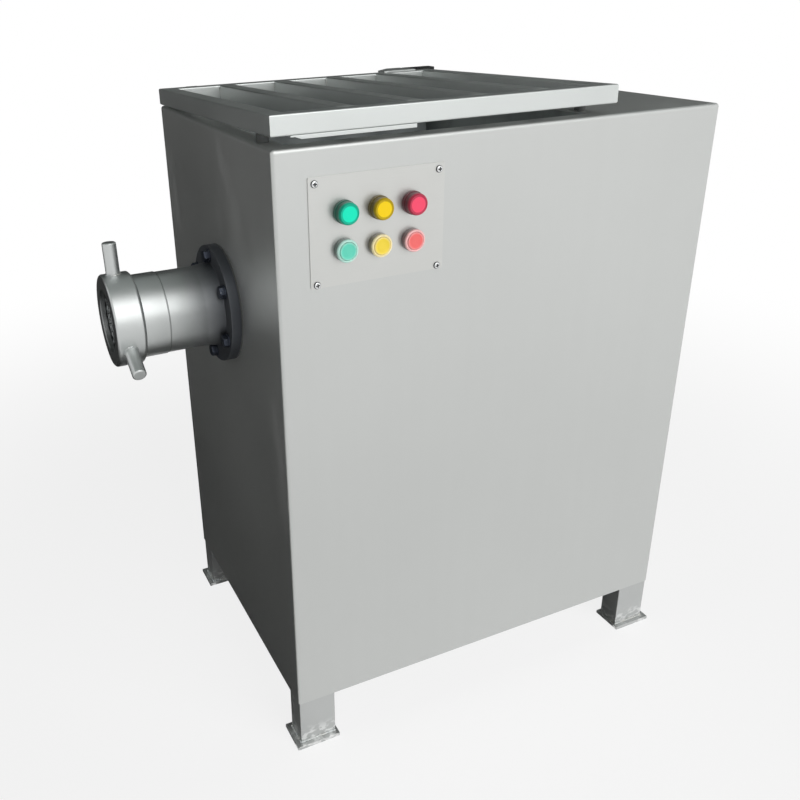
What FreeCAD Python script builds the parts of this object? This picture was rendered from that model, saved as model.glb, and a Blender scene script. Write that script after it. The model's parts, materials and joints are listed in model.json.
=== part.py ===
# Floor-standing meat grinder. A folded stainless cabinet on four legs carries a hopper under a
# hinged guard, a flanged barrel with a feed screw, knife, perforated plate and ring nut at the
# left end, and a motor, belts and reduction gearbox inside. X runs from the head to the drive
# end, Y from the control panel to the back, Z up from the floor. All sizes are millimetres.
import FreeCAD, Part
import math
import os

V = FreeCAD.Vector

# Cabinet: origin of the working frame is its front left corner on the floor
cabinet_length = 700.0
cabinet_depth = 500.0
cabinet_height = 850.0
leg_height = 87.0
sheet = 2.0
bend_radius = 5.0
corner_return = 20.0
rear_return = 30.0
deck_flange = 45.0
deck_z = leg_height + cabinet_height

# Legs, foot plates and base frame
leg_width = 60.0
leg_depth = 40.0
leg_wall = 3.0
foot_length = 73.0
foot_width = 55.0
foot_thickness = 6.0
foot_overhang = 7.0
rail_size = 40.0
rail_wall = 2.5

# Hopper: mouth under the deck, tapering to a trough round the feed screw
mouth_margin = 27.0
mouth_length = 453.0
trough_radius = 52.0
trough_start = 12.0
trough_end = 400.0
trough_wall_height = 30.0
hopper_plate_radius = 95.0
shaft_seal_length = 10.0
shaft_seal_radius = 28.0

# Head axis
axis_y = 233.0
axis_z = 680.0

# Barrel
barrel_bore = 48.0
barrel_radius = 59.5
barrel_front_radius = 60.5
barrel_step = -98.0
barrel_seam = 1.2
barrel_shoulder = -133.0
barrel_mouth = -164.5
thread_radius = 57.0
flange_radius = 87.5
flange_thickness = 15.0
gasket_thickness = 2.0
neck_radius = 62.5
neck_length = 26.0
rib_count = 6
rib_width = 6.0
rib_depth = 2.5
flange_face = -gasket_thickness - flange_thickness

# Flange bolts
bolt_count = 6
bolt_circle = 74.0
bolt_radius = 5.0
bolt_flats = 17.0
bolt_head = 7.0
washer_radius = 10.5
washer_thickness = 2.0
bolt_angles = [90.0 + 360.0 * i / bolt_count for i in range(bolt_count)]

# Running gaps: face to face between bodies, radial in a bearing, and a screw in its hole
face_gap = 0.3
shaft_gap = 0.05
hole_gap = 0.3

# Cutting plate
plate_radius = 50.0
plate_thickness = 14.0
plate_proud = 2.2
plate_hole = 5.0
plate_ring_radii = [18.5, 29.5, 40.5]
plate_ring_holes = [8, 13, 18]
key_radius = 3.0
key_length = 9.0
plate_front = barrel_mouth - plate_proud
plate_back = plate_front + plate_thickness

# Ring nut and its three handle bars
nut_radius = 67.0
nut_opening = 47.0
nut_length = 41.0
nut_lip = 8.0
nut_chamfer = 2.5
handle_radius = 10.0
handle_reach = 112.0
handle_seat = 5.0
handle_chamfer = 1.5
handle_offset = 18.0
handle_angles = [94.0, 214.0, 334.0]
nut_front = plate_front - face_gap - nut_lip

# Feed screw, knife and studs
screw_radius = 47.2
screw_core_back = 18.0
screw_core_front = 25.0
screw_pitch = 68.0
flight_root = 9.0
flight_tip = 5.0
knife_thickness = 16.0
knife_radius = 46.5
knife_hub = 20.0
knife_blade_width = 15.0
knife_blades = 4
stud_square = 22.0
pin_radius = 10.0
drive_square = 20.0
drive_depth = 24.0
screw_end_gap = 4.0
knife_back = plate_back + face_gap + knife_thickness
screw_back = trough_end - screw_end_gap

# Gearbox and its gear pair
gear_module = 4.0
gear_teeth = 43
pinion_teeth = 17
gear_width = 40.0
gear_backlash = 0.5
gear_dedendum = 1.25 * gear_module
pressure_angle = 20.0
flank_steps = 3
shaft_centres = gear_module * (gear_teeth + pinion_teeth) / 2.0
gearbox_start = 434.0
gearbox_length = 100.0
gearbox_wall = 10.0
gearbox_clearance = 8.0
gearbox_cover_thickness = 8.0
bearing_width = 14.0
output_radius = 20.0
output_bearing = 36.0
input_radius = 15.0
input_bearing = 28.0
cover_bolt_radius = 3.0
cover_bolt_flats = 10.0
cover_bolt_head = 4.0
cover_margin = 12.0

# Belts and sheaves
belt_count = 3
belt_pitch = 15.0
belt_top_width = 12.2
belt_height = 8.0
groove_width = 13.0
groove_depth = 12.0
groove_angle = 19.0
sheave_edge = 10.0
large_sheave_radius = 119.0
small_sheave_radius = 49.0
sheave_start = 560.0
sheave_web = 10.0
sheave_rim = 24.0
sheave_hub = 32.0
sheave_hole = 22.0
sheave_hole_angles = [45.0, 135.0, 225.0, 315.0]

# Motor
motor_rail_height = 25.0
motor_rail_width = 50.0
motor_rail_wall = 3.0
motor_axis_height = 112.0
motor_to_post = 8.0
motor_length = 230.0
motor_core = 84.0
motor_fin_reach = 104.0
motor_fins = 28
motor_fin = 3.0
motor_bare_angle = 25.0
motor_bore = 62.0
motor_air_gap = 0.5
motor_shaft = 14.0
motor_shield = 14.0
motor_shield_radius = 98.0
motor_shield_chamfer = 4.7
motor_foot_width = 45.0
motor_foot_spread = 95.0
motor_foot_height = 14.0
motor_foot_spacing = 140.0
fan_cover_length = 52.0
fan_cover_wall = 1.5
fan_cover_lap = 6.0
fan_cover_radius = motor_shield_radius + fan_cover_wall
fan_radius = 90.0
fan_blades = 7
fan_width = 13.0
air_slots = 21
air_slot_width = 4.0
air_slot_start = 25.0
air_slot_end = 75.0
terminal_box_length = 110.0
terminal_box_width = 90.0
terminal_box_height = 42.0
terminal_lid = 10.5
post_start = gearbox_start + gearbox_length / 2 - rail_size / 2
motor_middle = post_start - motor_to_post - motor_rail_width / 2 - motor_foot_spacing / 2
motor_start = motor_middle - motor_length / 2

# Guard over the hopper, tilted up a little towards the front on its rear hinge
guard_length = 507.0
guard_depth = cabinet_depth
guard_tube = 25.0
guard_wall = 1.5
guard_slat_count = 4
guard_tilt = 1.5
guard_seat = 1.0
hinge_back = 16.0
hinge_drop = 8.0
hinge_eye = 7.0
hinge_pin = 4.0
guard_ear = 8.0
bracket_ear = 5.0
ear_gap = 0.5
bracket_base = 3.0
bracket_height = 20.0
bracket_rise = 2.0
hinge_left = 60.0
hinge_right = guard_length - 55.0
leaf_start = guard_length - 104.0
leaf_end = guard_length - 41.0
leaf_reach = 35.0
leaf_thickness = 3.0
switch_start = leaf_end + ear_gap
switch_length = 56.5
switch_half = 11.0
lip_start = 25.0
lip_end = 194.0
lip_drop = 5.0
lip_slant = 14.0
lip_sheet = 2.0
lip_leg = 18.0
buffer_radius = 8.0
buffer_back = 60.0
hinge_y = cabinet_depth + hinge_back
hinge_z = deck_z + guard_seat + guard_tube - hinge_drop

# Control panel
panel_start = 44.0
panel_end = 235.0
panel_bottom = 761.0
panel_top = 901.0
panel_thickness = 1.5
panel_corner = 2.0
panel_screw_inset = 8.5
panel_screw_radius = 2.0
panel_screw_head = 4.8
panel_screw_height = 2.6
device_columns = [91.3, 139.4, 187.5]
lamp_row = 854.6
button_row = 806.4
device_barrel = 11.0
device_hole = 11.3
lamp_radius = 15.0
lamp_height = 17.5
lamp_base = 6.0
lamp_step = 0.6
lamp_draft = 0.3
lamp_round = 2.5
bezel_radius = 15.0
bezel_height = 11.0
bezel_rim = 3.0
bezel_edge = 1.5
cap_radius = bezel_radius - bezel_rim - face_gap
cap_travel = 4.0
cap_stop = 0.5
cap_height = bezel_height - cap_travel - cap_stop
cap_dome = 1.0
device_block = 28.0
device_block_depth = 34.0
device_nut_radius = 14.5
device_nut = 5.0
panel_front = -panel_thickness

# Rear service panel, electrical enclosure and cable gland
rear_panel_sheet = 2.0
rear_overlap = 14.0
bracket_z = deck_z - deck_flange + rear_overlap + bracket_rise
rear_screw_radius = 2.5
rear_screw_head = 5.0
rear_screw_height = 3.0
rear_screws_high = 4
rear_screws_wide = 3
louvre_rows = 8
louvre_length = 120.0
louvre_pitch = 22.0
louvre_slot = 6.0
louvre_hood = 7.0
louvre_bottom = 200.0
louvre_columns = [230.0, 470.0]
enclosure_start = 530.0
enclosure_length = 150.0
enclosure_depth = 80.0
enclosure_bottom = 640.0
enclosure_height = 260.0
enclosure_wall = 1.5
gland_y = 420.0
gland_z = 170.0
gland_bore = 5.5
gland_thread = 10.0
gland_flats = 27.0
gland_body = 12.0
gland_cap = 14.0
gland_nut = 6.0


def box(x0, x1, y0, y1, z0, z1):
    """Return a box between two corners."""
    return Part.makeBox(x1 - x0, y1 - y0, z1 - z0, V(x0, y0, z0))


def rod(radius, start, end):
    """Return a round bar from one point to another."""
    run = end - start
    return Part.makeCylinder(radius, run.Length, start, run)


def axis_point(x, y=axis_y, z=axis_z):
    """Return a point, on the head's axis unless told otherwise."""
    return V(x, y, z)


def turned(profile, y=axis_y, z=axis_z):
    """Turn a closed outline of (along X, radius) pairs about an axis parallel to X."""
    points = [V(x, y, z + r) for x, r in profile]
    face = Part.Face(Part.makePolygon(points + points[:1]))
    return face.revolve(V(0, y, z), V(1, 0, 0), 360)


def turned_front(profile, x, z):
    """Turn a closed outline of (outwards from the panel, radius) pairs about an axis along Y."""
    points = [V(x, -out, z + r) for out, r in profile]
    face = Part.Face(Part.makePolygon(points + points[:1]))
    return face.revolve(V(x, 0, z), V(0, 1, 0), 360)


def prism(outline, travel):
    """Push a closed outline of points along a vector."""
    return Part.Face(Part.makePolygon(outline + outline[:1])).extrude(travel)


def hexagon(flats, x0, x1, y, z):
    """Return a hexagonal bar along X."""
    corner = flats / math.sqrt(3)
    outline = [V(x0, y + corner * math.cos(math.radians(60 * i)),
                 z + corner * math.sin(math.radians(60 * i))) for i in range(6)]
    return prism(outline, V(x1 - x0, 0, 0))


def around(radius, angle, x):
    """Return a point round the head's axis; 0 faces the front and 90 is straight up."""
    turn = math.radians(angle)
    return V(x, axis_y - radius * math.cos(turn), axis_z + radius * math.sin(turn))


def joined(shapes):
    """Fuse shapes to one solid and clear the seams between coplanar faces."""
    return shapes[0].multiFuse(shapes[1:]).removeSplitter()


def group(shapes):
    """Keep shapes as separate solids of one part."""
    return Part.makeCompound(shapes)


def folded_shell():
    """Return the whole folded cabinet skin, open underneath, before it is cut into panels."""
    outer = box(0, cabinet_length, 0, cabinet_depth, leg_height, deck_z)
    inner = box(sheet, cabinet_length - sheet, sheet, cabinet_depth - sheet,
                leg_height, deck_z - sheet)
    skins = []
    for body, radius in [(outer, bend_radius), (inner, bend_radius - sheet)]:
        folds = [e for e in body.Edges if e.BoundBox.ZMax > leg_height + sheet]
        skins.append(body.makeFillet(radius, folds))
    return skins[0].cut(skins[1])


def mouth_cut():
    """Return the block that opens the deck over the hopper."""
    return box(mouth_margin, mouth_margin + mouth_length,
               mouth_margin, cabinet_depth - mouth_margin, deck_z - deck_flange, deck_z + sheet)


def front_panel(shell):
    """Front of the cabinet with returns round both corners and over the top edge."""
    panel = shell.common(box(0, cabinet_length, 0, corner_return, 0, deck_z))
    for column in device_columns:
        for row in (lamp_row, button_row):
            panel = panel.cut(rod(device_hole, V(column, -sheet, row), V(column, 2 * sheet, row)))
    for x, z in panel_screw_places():
        panel = panel.cut(rod(panel_screw_radius, V(x, -sheet, z), V(x, 2 * sheet, z)))
    return panel


def top_plate(shell):
    """Deck with the hopper mouth and folded flanges at both ends and the back."""
    region = box(0, cabinet_length, corner_return, cabinet_depth, deck_z - deck_flange, deck_z)
    return shell.common(region).cut(mouth_cut())


def end_panel(shell, left):
    """One end of the cabinet, with its return round the rear corner."""
    if left:
        x0, x1 = 0, rear_return
    else:
        x0, x1 = cabinet_length - rear_return, cabinet_length
    return shell.common(box(x0, x1, corner_return, cabinet_depth, 0, deck_z - deck_flange))


def left_end_panel(shell):
    """End panel that the barrel is bolted through."""
    panel = end_panel(shell, True)
    panel = panel.cut(rod(spigot_radius() + hole_gap, axis_point(-sheet), axis_point(2 * sheet)))
    for angle in bolt_angles:
        panel = panel.cut(rod(bolt_radius + hole_gap, around(bolt_circle, angle, -sheet),
                              around(bolt_circle, angle, 2 * sheet)))
    return panel


def right_end_panel(shell):
    """End panel with the cable entry."""
    hole = rod(gland_thread, V(cabinet_length - 2 * sheet, gland_y, gland_z),
               V(cabinet_length + sheet, gland_y, gland_z))
    return end_panel(shell, False).cut(hole)


def rear_screw_places():
    """Return the (x, z) places of the screws that hold the service panel."""
    x0 = rear_return - rear_overlap / 2
    x1 = cabinet_length - x0
    z0 = leg_height + rear_overlap / 2
    z1 = deck_z - deck_flange + rear_overlap / 2
    places = []
    for i in range(rear_screws_high):
        z = z0 + (z1 - z0) * i / (rear_screws_high - 1)
        for j in range(rear_screws_wide):
            edge = i in (0, rear_screws_high - 1) or j in (0, rear_screws_wide - 1)
            if edge:
                places.append((x0 + (x1 - x0) * j / (rear_screws_wide - 1), z))
    return places


def louvre(centre, z):
    """Return one pressed hood, open downwards, and the slot that it covers."""
    x0, x1 = centre - louvre_length / 2, centre + louvre_length / 2
    y0 = cabinet_depth
    start = V(x0, y0 + rear_panel_sheet, z)
    out = V(0, louvre_hood, 0)
    rise = V(0, 0, 2 * louvre_slot)
    run = V(x1 - x0, 0, 0)
    wedge = prism([start, start + out, start + rise], run)
    start.z = z - rear_panel_sheet
    hollow = prism([start, start + out, start + rise], run)
    x0 += rear_panel_sheet
    x1 -= rear_panel_sheet
    room = box(x0, x1, y0, y0 + 2 * louvre_hood, z - rise.z, z + rise.z)
    slot = box(x0, x1, y0 - sheet, y0 + 2 * sheet, z, z + louvre_slot)
    return wedge.cut(hollow.common(room)), slot


def rear_panel():
    """Removable service panel with pressed louvres."""
    y0 = cabinet_depth
    x0 = rear_return - rear_overlap
    z1 = deck_z - deck_flange + rear_overlap
    panel = box(x0, cabinet_length - x0, y0, y0 + rear_panel_sheet, leg_height, z1)
    places = [(x, louvre_bottom + row * louvre_pitch) for x in louvre_columns
              for row in range(louvre_rows)]
    hoods, slots = zip(*[louvre(x, z) for x, z in places])
    panel = panel.multiFuse(list(hoods))
    for slot in slots:
        panel = panel.cut(slot)
    for x, z in rear_screw_places():
        panel = panel.cut(rod(rear_screw_radius, V(x, y0 - sheet, z), V(x, y0 + 2 * sheet, z)))
    return panel


def rear_panel_screws():
    """Dome screws of the service panel."""
    screws = []
    y0 = cabinet_depth + rear_panel_sheet
    for x, z in rear_screw_places():
        shank = rod(rear_screw_radius, V(x, cabinet_depth, z), V(x, y0, z))
        head = Part.makeCone(rear_screw_head, rear_screw_head / 2, rear_screw_height,
                             V(x, y0, z), V(0, 1, 0))
        screws.append(shank.fuse(head))
    return group(screws)


def square_tube(x0, x1, y0, y1, z0, z1, wall, along):
    """Return an open-ended rectangular tube; along names the axis that it runs on."""
    sides = {"x": (0, wall, wall), "y": (wall, 0, wall), "z": (wall, wall, 0)}[along]
    hollow = box(x0 + sides[0], x1 - sides[0], y0 + sides[1], y1 - sides[1],
                 z0 + sides[2], z1 - sides[2])
    return box(x0, x1, y0, y1, z0, z1).cut(hollow)


def base_frame():
    """Four square tubes inside the foot of the cabinet: two long ones and two between them."""
    x0, x1 = sheet, cabinet_length - sheet
    y0, y1 = sheet, cabinet_depth - sheet
    z0, z1 = leg_height, leg_height + rail_size
    tubes = []
    for start in (y0, y1 - rail_size):
        tubes.append(square_tube(bend_radius, cabinet_length - bend_radius, start,
                                 start + rail_size, z0, z1, rail_wall, "x"))
    for start in (x0, x1 - rail_size):
        tubes.append(square_tube(start, start + rail_size, y0 + rail_size, y1 - rail_size,
                                 z0, z1, rail_wall, "y"))
    return group(tubes)


def corner_starts(size_x, size_y, inset):
    """Return the (x, y) low corner of a footprint at each corner, an inset from the faces."""
    return [(x, y) for x in (inset, cabinet_length - inset - size_x)
            for y in (inset, cabinet_depth - inset - size_y)]


def legs():
    """Rectangular tube legs from the foot plates up to the base frame."""
    return group([square_tube(x, x + leg_width, y, y + leg_depth, foot_thickness, leg_height,
                              leg_wall, "z") for x, y in corner_starts(leg_width, leg_depth, sheet)])


def foot_plates():
    """Flat plates under the legs, standing a little proud of the cabinet's faces."""
    return group([box(x, x + foot_length, y, y + foot_width, 0, foot_thickness)
                  for x, y in corner_starts(foot_length, foot_width, -foot_overhang)])


def rectangle(x0, x1, y0, y1, z):
    """Return a flat closed rectangle at one height."""
    corners = [V(x0, y0, z), V(x1, y0, z), V(x1, y1, z), V(x0, y1, z)]
    return Part.makePolygon(corners + corners[:1])


def hopper_form(grow):
    """Return the hopper's inside space, grown by a wall where asked."""
    top = rectangle(mouth_margin - grow, mouth_margin + mouth_length + grow,
                    mouth_margin - grow, cabinet_depth - mouth_margin + grow, deck_z - sheet)
    shoulder_z = axis_z + trough_wall_height
    x0, x1 = trough_start - grow, trough_end + grow
    radius = trough_radius + grow
    low = rectangle(x0, x1, axis_y - radius, axis_y + radius, shoulder_z)
    funnel = Part.makeLoft([low, top], True, True)
    walls = box(x0, x1, axis_y - radius, axis_y + radius, axis_z, shoulder_z)
    floor = rod(radius, axis_point(x0), axis_point(x1))
    return funnel.fuse([walls, floor])


def spigot_radius():
    """Outside radius of the barrel where it passes through the end panel."""
    return barrel_bore + (thread_radius - plate_radius)


def hopper():
    """Sheet hopper and trough, with the thick end plate that the barrel bolts to."""
    end_plate = rod(hopper_plate_radius, axis_point(sheet), axis_point(trough_start))
    shell = hopper_form(sheet).fuse(end_plate).cut(hopper_form(0))
    shell = shell.cut(rod(spigot_radius() + hole_gap, axis_point(0), axis_point(trough_start + sheet)))
    for angle in bolt_angles:
        shell = shell.cut(rod(bolt_radius, around(bolt_circle, angle, 0),
                              around(bolt_circle, angle, trough_start)))
    shaft_hole = rod(output_radius + hole_gap, axis_point(trough_end - sheet),
                     axis_point(trough_end + 2 * sheet))
    return shell.cut(shaft_hole).removeSplitter()


def shaft_seal():
    """Lip seal behind the hopper, round the drive shaft."""
    x0 = trough_end + sheet
    ring = rod(shaft_seal_radius, axis_point(x0), axis_point(x0 + shaft_seal_length))
    return ring.cut(rod(output_radius + hole_gap, axis_point(x0), axis_point(x0 + shaft_seal_length)))


def barrel():
    """Turned barrel: bolting flange, neck, seam, thread land and the seat of the plate."""
    seat = plate_back + face_gap
    seam = barrel_step
    profile = [(trough_start, barrel_bore), (trough_start, spigot_radius()),
               (-gasket_thickness, spigot_radius()), (-gasket_thickness, flange_radius),
               (flange_face, flange_radius), (flange_face, neck_radius),
               (flange_face - neck_length, barrel_radius),
               (seam + barrel_seam, barrel_radius),
               (seam + barrel_seam, barrel_radius - barrel_seam),
               (seam, barrel_radius - barrel_seam), (seam, barrel_front_radius),
               (barrel_shoulder, barrel_front_radius), (barrel_shoulder, thread_radius),
               (barrel_mouth, thread_radius), (barrel_mouth, plate_radius + face_gap),
               (seat, plate_radius + face_gap), (seat, barrel_bore)]
    body = turned(profile)
    for i in range(rib_count):
        angle = 360.0 * (i + 0.5) / rib_count
        groove = box(seat - face_gap - knife_thickness, trough_start, axis_y - rib_width / 2,
                     axis_y + rib_width / 2, axis_z, axis_z + barrel_bore + rib_depth)
        groove.rotate(axis_point(0), V(1, 0, 0), angle)
        body = body.cut(groove)
    for angle in bolt_angles:
        body = body.cut(rod(bolt_radius + hole_gap, around(bolt_circle, angle, flange_face - bolt_head),
                            around(bolt_circle, angle, 0)))
    return body.cut(key_rod(key_radius))


def key_rod(radius):
    """Return the round key between the barrel and the plate, or the room that it needs."""
    centre = plate_radius + face_gap
    return rod(radius, around(centre, 90, barrel_mouth), around(centre, 90, barrel_mouth + key_length))


def barrel_gasket():
    """Flat gasket between the flange and the end panel."""
    ring = rod(flange_radius, axis_point(-gasket_thickness), axis_point(0))
    ring = ring.cut(rod(spigot_radius() + hole_gap, axis_point(-gasket_thickness), axis_point(0)))
    for angle in bolt_angles:
        ring = ring.cut(rod(bolt_radius + hole_gap, around(bolt_circle, angle, -gasket_thickness),
                            around(bolt_circle, angle, 0)))
    return ring


def barrel_bolts():
    """Hexagon bolts of the flange, screwed into the hopper's end plate."""
    bolts = []
    for angle in bolt_angles:
        seat = flange_face - washer_thickness
        centre = around(bolt_circle, angle, seat)
        head = hexagon(bolt_flats, seat - bolt_head, seat, centre.y, centre.z)
        crown = Part.makeCone(bolt_flats / 2, bolt_flats / 2 + bolt_head, bolt_head,
                              V(seat - bolt_head, centre.y, centre.z), V(1, 0, 0))
        shank = rod(bolt_radius, centre, around(bolt_circle, angle, trough_start))
        bolts.append(head.common(crown).fuse(shank))
    return group(bolts)


def barrel_washers():
    """Flat washers under the flange bolts."""
    washers = []
    for angle in bolt_angles:
        start = around(bolt_circle, angle, flange_face - washer_thickness)
        end = around(bolt_circle, angle, flange_face)
        washers.append(rod(washer_radius, start, end).cut(rod(bolt_radius, start, end)))
    return group(washers)


def cutting_plate():
    """Perforated plate with rings of round holes, a centre bush hole and a key notch."""
    plate = rod(plate_radius, axis_point(plate_front), axis_point(plate_back))
    holes = [rod(pin_radius + shaft_gap, axis_point(plate_front), axis_point(plate_back))]
    for radius, count in zip(plate_ring_radii, plate_ring_holes):
        for i in range(count):
            angle = 360.0 * i / count
            holes.append(rod(plate_hole, around(radius, angle, plate_front),
                             around(radius, angle, plate_back)))
    notch = rod(key_radius + face_gap, around(plate_radius + face_gap, 90, plate_front),
                around(plate_radius + face_gap, 90, plate_back))
    return plate.cut(group(holes + [notch]))


def ring_nut():
    """Ring nut with a lip that holds the plate, and three seats for its handle bars."""
    back = nut_front + nut_length
    lip_back = nut_front + nut_lip
    profile = [(nut_front, nut_opening + nut_chamfer), (nut_front, nut_radius - nut_chamfer),
               (nut_front + nut_chamfer, nut_radius), (back - nut_chamfer, nut_radius),
               (back, nut_radius - nut_chamfer), (back, thread_radius + face_gap),
               (lip_back, thread_radius + face_gap), (lip_back, nut_opening),
               (nut_front + nut_chamfer, nut_opening)]
    nut = turned(profile)
    for bar in handle_bars():
        nut = nut.cut(bar)
    return nut


def handle_bars():
    """Round bars welded into the rim of the ring nut, chamfered at their ends."""
    bars = []
    x = nut_front + handle_offset
    for angle in handle_angles:
        start = around(nut_radius - handle_seat, angle, x)
        end = around(handle_reach - handle_chamfer, angle, x)
        outward = (end - start).normalize()
        tip = Part.makeCone(handle_radius, handle_radius - handle_chamfer, handle_chamfer, end, outward)
        bars.append(rod(handle_radius, start, end).fuse(tip))
    return bars


def feed_screw():
    """Feed screw: tapered core, one helical flight, a square stud and a pin in front."""
    length = screw_back - knife_back
    core = Part.makeCone(screw_core_front, screw_core_back, length, axis_point(knife_back), V(1, 0, 0))
    stud_half = stud_square / 2
    stud = box(knife_back - knife_thickness, knife_back, axis_y - stud_half, axis_y + stud_half,
               axis_z - stud_half, axis_z + stud_half)
    pin = rod(pin_radius, axis_point(plate_front), axis_point(knife_back - knife_thickness))
    sweep_radius = screw_core_back - flight_tip
    helix = Part.makeHelix(screw_pitch, length + screw_pitch, sweep_radius)
    root, tip = flight_root / 2, flight_tip / 2
    section = [V(sweep_radius, 0, -root), V(screw_radius, 0, -tip),
               V(screw_radius, 0, tip), V(sweep_radius, 0, root)]
    profile = Part.makePolygon(section + section[:1])
    flight = Part.Wire(helix).makePipeShell([profile], True, True)
    flight.rotate(V(0, 0, 0), V(0, 1, 0), 90)
    flight.translate(axis_point(knife_back - screw_pitch / 2))
    flight = flight.common(rod(2 * screw_radius, axis_point(knife_back), axis_point(screw_back)))
    half = drive_square / 2
    socket = box(screw_back - drive_depth, screw_back, axis_y - half, axis_y + half,
                 axis_z - half, axis_z + half)
    return core.fuse([flight, stud, pin]).cut(socket)


def knife():
    """Cross knife with raked blades, on the square stud of the feed screw."""
    front = knife_back - knife_thickness
    hub = rod(knife_hub, axis_point(front), axis_point(knife_back))
    pieces = [hub]
    for i in range(knife_blades):
        edge = knife_blade_width / 2
        outline = [V(front, axis_y - edge, axis_z), V(front, axis_y + edge / 2, axis_z),
                   V(knife_back, axis_y + edge, axis_z), V(knife_back - edge / 2, axis_y - edge / 4, axis_z)]
        blade = prism(outline, V(0, 0, knife_radius + edge))
        blade.rotate(axis_point(0), V(1, 0, 0), 360.0 * i / knife_blades)
        pieces.append(blade)
    half = stud_square / 2
    square = box(front, knife_back, axis_y - half, axis_y + half, axis_z - half, axis_z + half)
    space = rod(knife_radius, axis_point(front), axis_point(knife_back))
    return joined(pieces).common(space).cut(square)


def gear_outline(teeth, phase, x, z):
    """Return the outline of an involute spur gear, with one tooth centred at the phase."""
    pitch_r = gear_module * teeth / 2
    base_r = pitch_r * math.cos(math.radians(pressure_angle))
    tip_r = pitch_r + gear_module
    root_r = pitch_r - gear_dedendum
    start_r = max(base_r, root_r)

    def involute(radius):
        roll = math.acos(min(1.0, base_r / radius))
        return math.tan(roll) - roll

    half_tooth = math.pi / (2 * teeth) - gear_backlash / (4 * pitch_r) + involute(pitch_r)
    flank = []
    for i in range(flank_steps + 1):
        radius = start_r + (tip_r - start_r) * i / flank_steps
        flank.append((radius, half_tooth - involute(radius)))
    points = []
    for tooth in range(teeth):
        centre = math.radians(phase) + 2 * math.pi * tooth / teeth
        side = [(root_r, flank[0][1])] + flank
        for radius, offset in [(r, -a) for r, a in side] + [(r, a) for r, a in reversed(side)]:
            angle = centre + offset
            points.append(V(x, axis_y + radius * math.cos(angle), z + radius * math.sin(angle)))
    return points


def gear_start():
    """X at which the gear pair begins, midway in the gearbox."""
    return gearbox_start + gearbox_length / 2 - gear_width / 2


def output_gear():
    """Large spur gear on the drive shaft."""
    blank = prism(gear_outline(gear_teeth, -90, gear_start(), axis_z), V(gear_width, 0, 0))
    bore = rod(output_radius, axis_point(gear_start()), axis_point(gear_start() + gear_width))
    return blank.cut(bore)


def input_z():
    """Height of the gearbox input shaft."""
    return axis_z - shaft_centres


def output_shaft():
    """Drive shaft from the gearbox to the square socket of the feed screw."""
    end = gearbox_start + gearbox_length
    shaft = rod(output_radius, axis_point(screw_back), axis_point(end))
    half = drive_square / 2
    tang = box(screw_back - drive_depth, screw_back, axis_y - half, axis_y + half,
               axis_z - half, axis_z + half)
    return shaft.fuse(tang)


def sheave_end():
    """X at which both sheaves end."""
    return sheave_start + 2 * sheave_edge + (belt_count - 1) * belt_pitch


def input_shaft():
    """Pinion shaft between the gearbox and the large sheave."""
    z = input_z()
    start = gearbox_start + gearbox_wall / 2
    shaft = rod(input_radius, V(start, axis_y, z), V(sheave_end(), axis_y, z))
    phase = 90 + 180.0 / pinion_teeth
    pinion = prism(gear_outline(pinion_teeth, phase, gear_start(), z), V(gear_width, 0, 0))
    return shaft.fuse(pinion)


def gearbox_box(grow):
    """Return the room round the gear pair, grown by a wall where asked."""
    gear_r = gear_module * (gear_teeth / 2 + 1) + gearbox_clearance + grow
    pinion_r = gear_module * (pinion_teeth / 2 + 1) + gearbox_clearance + grow
    return axis_y - gear_r, axis_y + gear_r, input_z() - pinion_r, axis_z + gear_r


def shaft_places():
    """Return (height, shaft radius, bearing radius) of the two gearbox shafts."""
    return [(axis_z, output_radius, output_bearing), (input_z(), input_radius, input_bearing)]


def gearbox_housing():
    """Cast housing, open towards the drive end, with bosses for the bearings."""
    y0, y1, z0, z1 = gearbox_box(gearbox_wall)
    outer = box(gearbox_start, gearbox_start + gearbox_length, y0, y1, z0, z1)
    edges = [e for e in outer.Edges if e.BoundBox.XLength > gearbox_wall]
    outer = outer.makeFillet(gearbox_wall * 2, edges)
    y0, y1, z0, z1 = gearbox_box(0)
    inner = box(gearbox_start + gearbox_wall, gearbox_start + gearbox_length, y0, y1, z0, z1)
    housing = outer.cut(inner)
    for z, _, bearing in shaft_places():
        boss_end = gearbox_start + gearbox_wall / 2 + bearing_width
        housing = housing.fuse(rod(bearing + gearbox_wall, V(gearbox_start, axis_y, z),
                                   V(boss_end, axis_y, z)))
    for z, _, bearing in shaft_places():
        housing = housing.cut(rod(bearing, V(gearbox_start + gearbox_wall / 2, axis_y, z),
                                  V(gearbox_start + gearbox_length, axis_y, z)))
    hole = rod(output_radius + hole_gap, axis_point(gearbox_start), axis_point(gearbox_start + gearbox_wall))
    return housing.cut(hole)


def cover_start():
    """X at which the gearbox cover meets the housing."""
    return gearbox_start + gearbox_length


def gearbox_cover():
    """Flat cover with bearing bosses inside and the input shaft coming through."""
    y0, y1, z0, z1 = gearbox_box(gearbox_wall)
    x0 = cover_start()
    x1 = x0 + gearbox_cover_thickness
    cover = box(x0, x1, y0, y1, z0, z1)
    edges = [e for e in cover.Edges if e.BoundBox.XLength > gearbox_cover_thickness / 2]
    cover = cover.makeFillet(gearbox_wall * 2, edges)
    boss_start = x1 - gearbox_wall / 2 - bearing_width
    for z, _, bearing in shaft_places():
        cover = cover.fuse(rod(bearing + gearbox_wall, V(boss_start, axis_y, z), V(x1, axis_y, z)))
    for z, _, bearing in shaft_places():
        cover = cover.cut(rod(bearing, V(boss_start, axis_y, z), V(x1 - gearbox_wall / 2, axis_y, z)))
    z = input_z()
    cover = cover.cut(rod(input_radius + hole_gap, V(x0, axis_y, z), V(x1, axis_y, z)))
    for y, z in cover_bolt_places():
        cover = cover.cut(rod(cover_bolt_radius, V(x0, y, z), V(x1, y, z)))
    return cover


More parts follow.
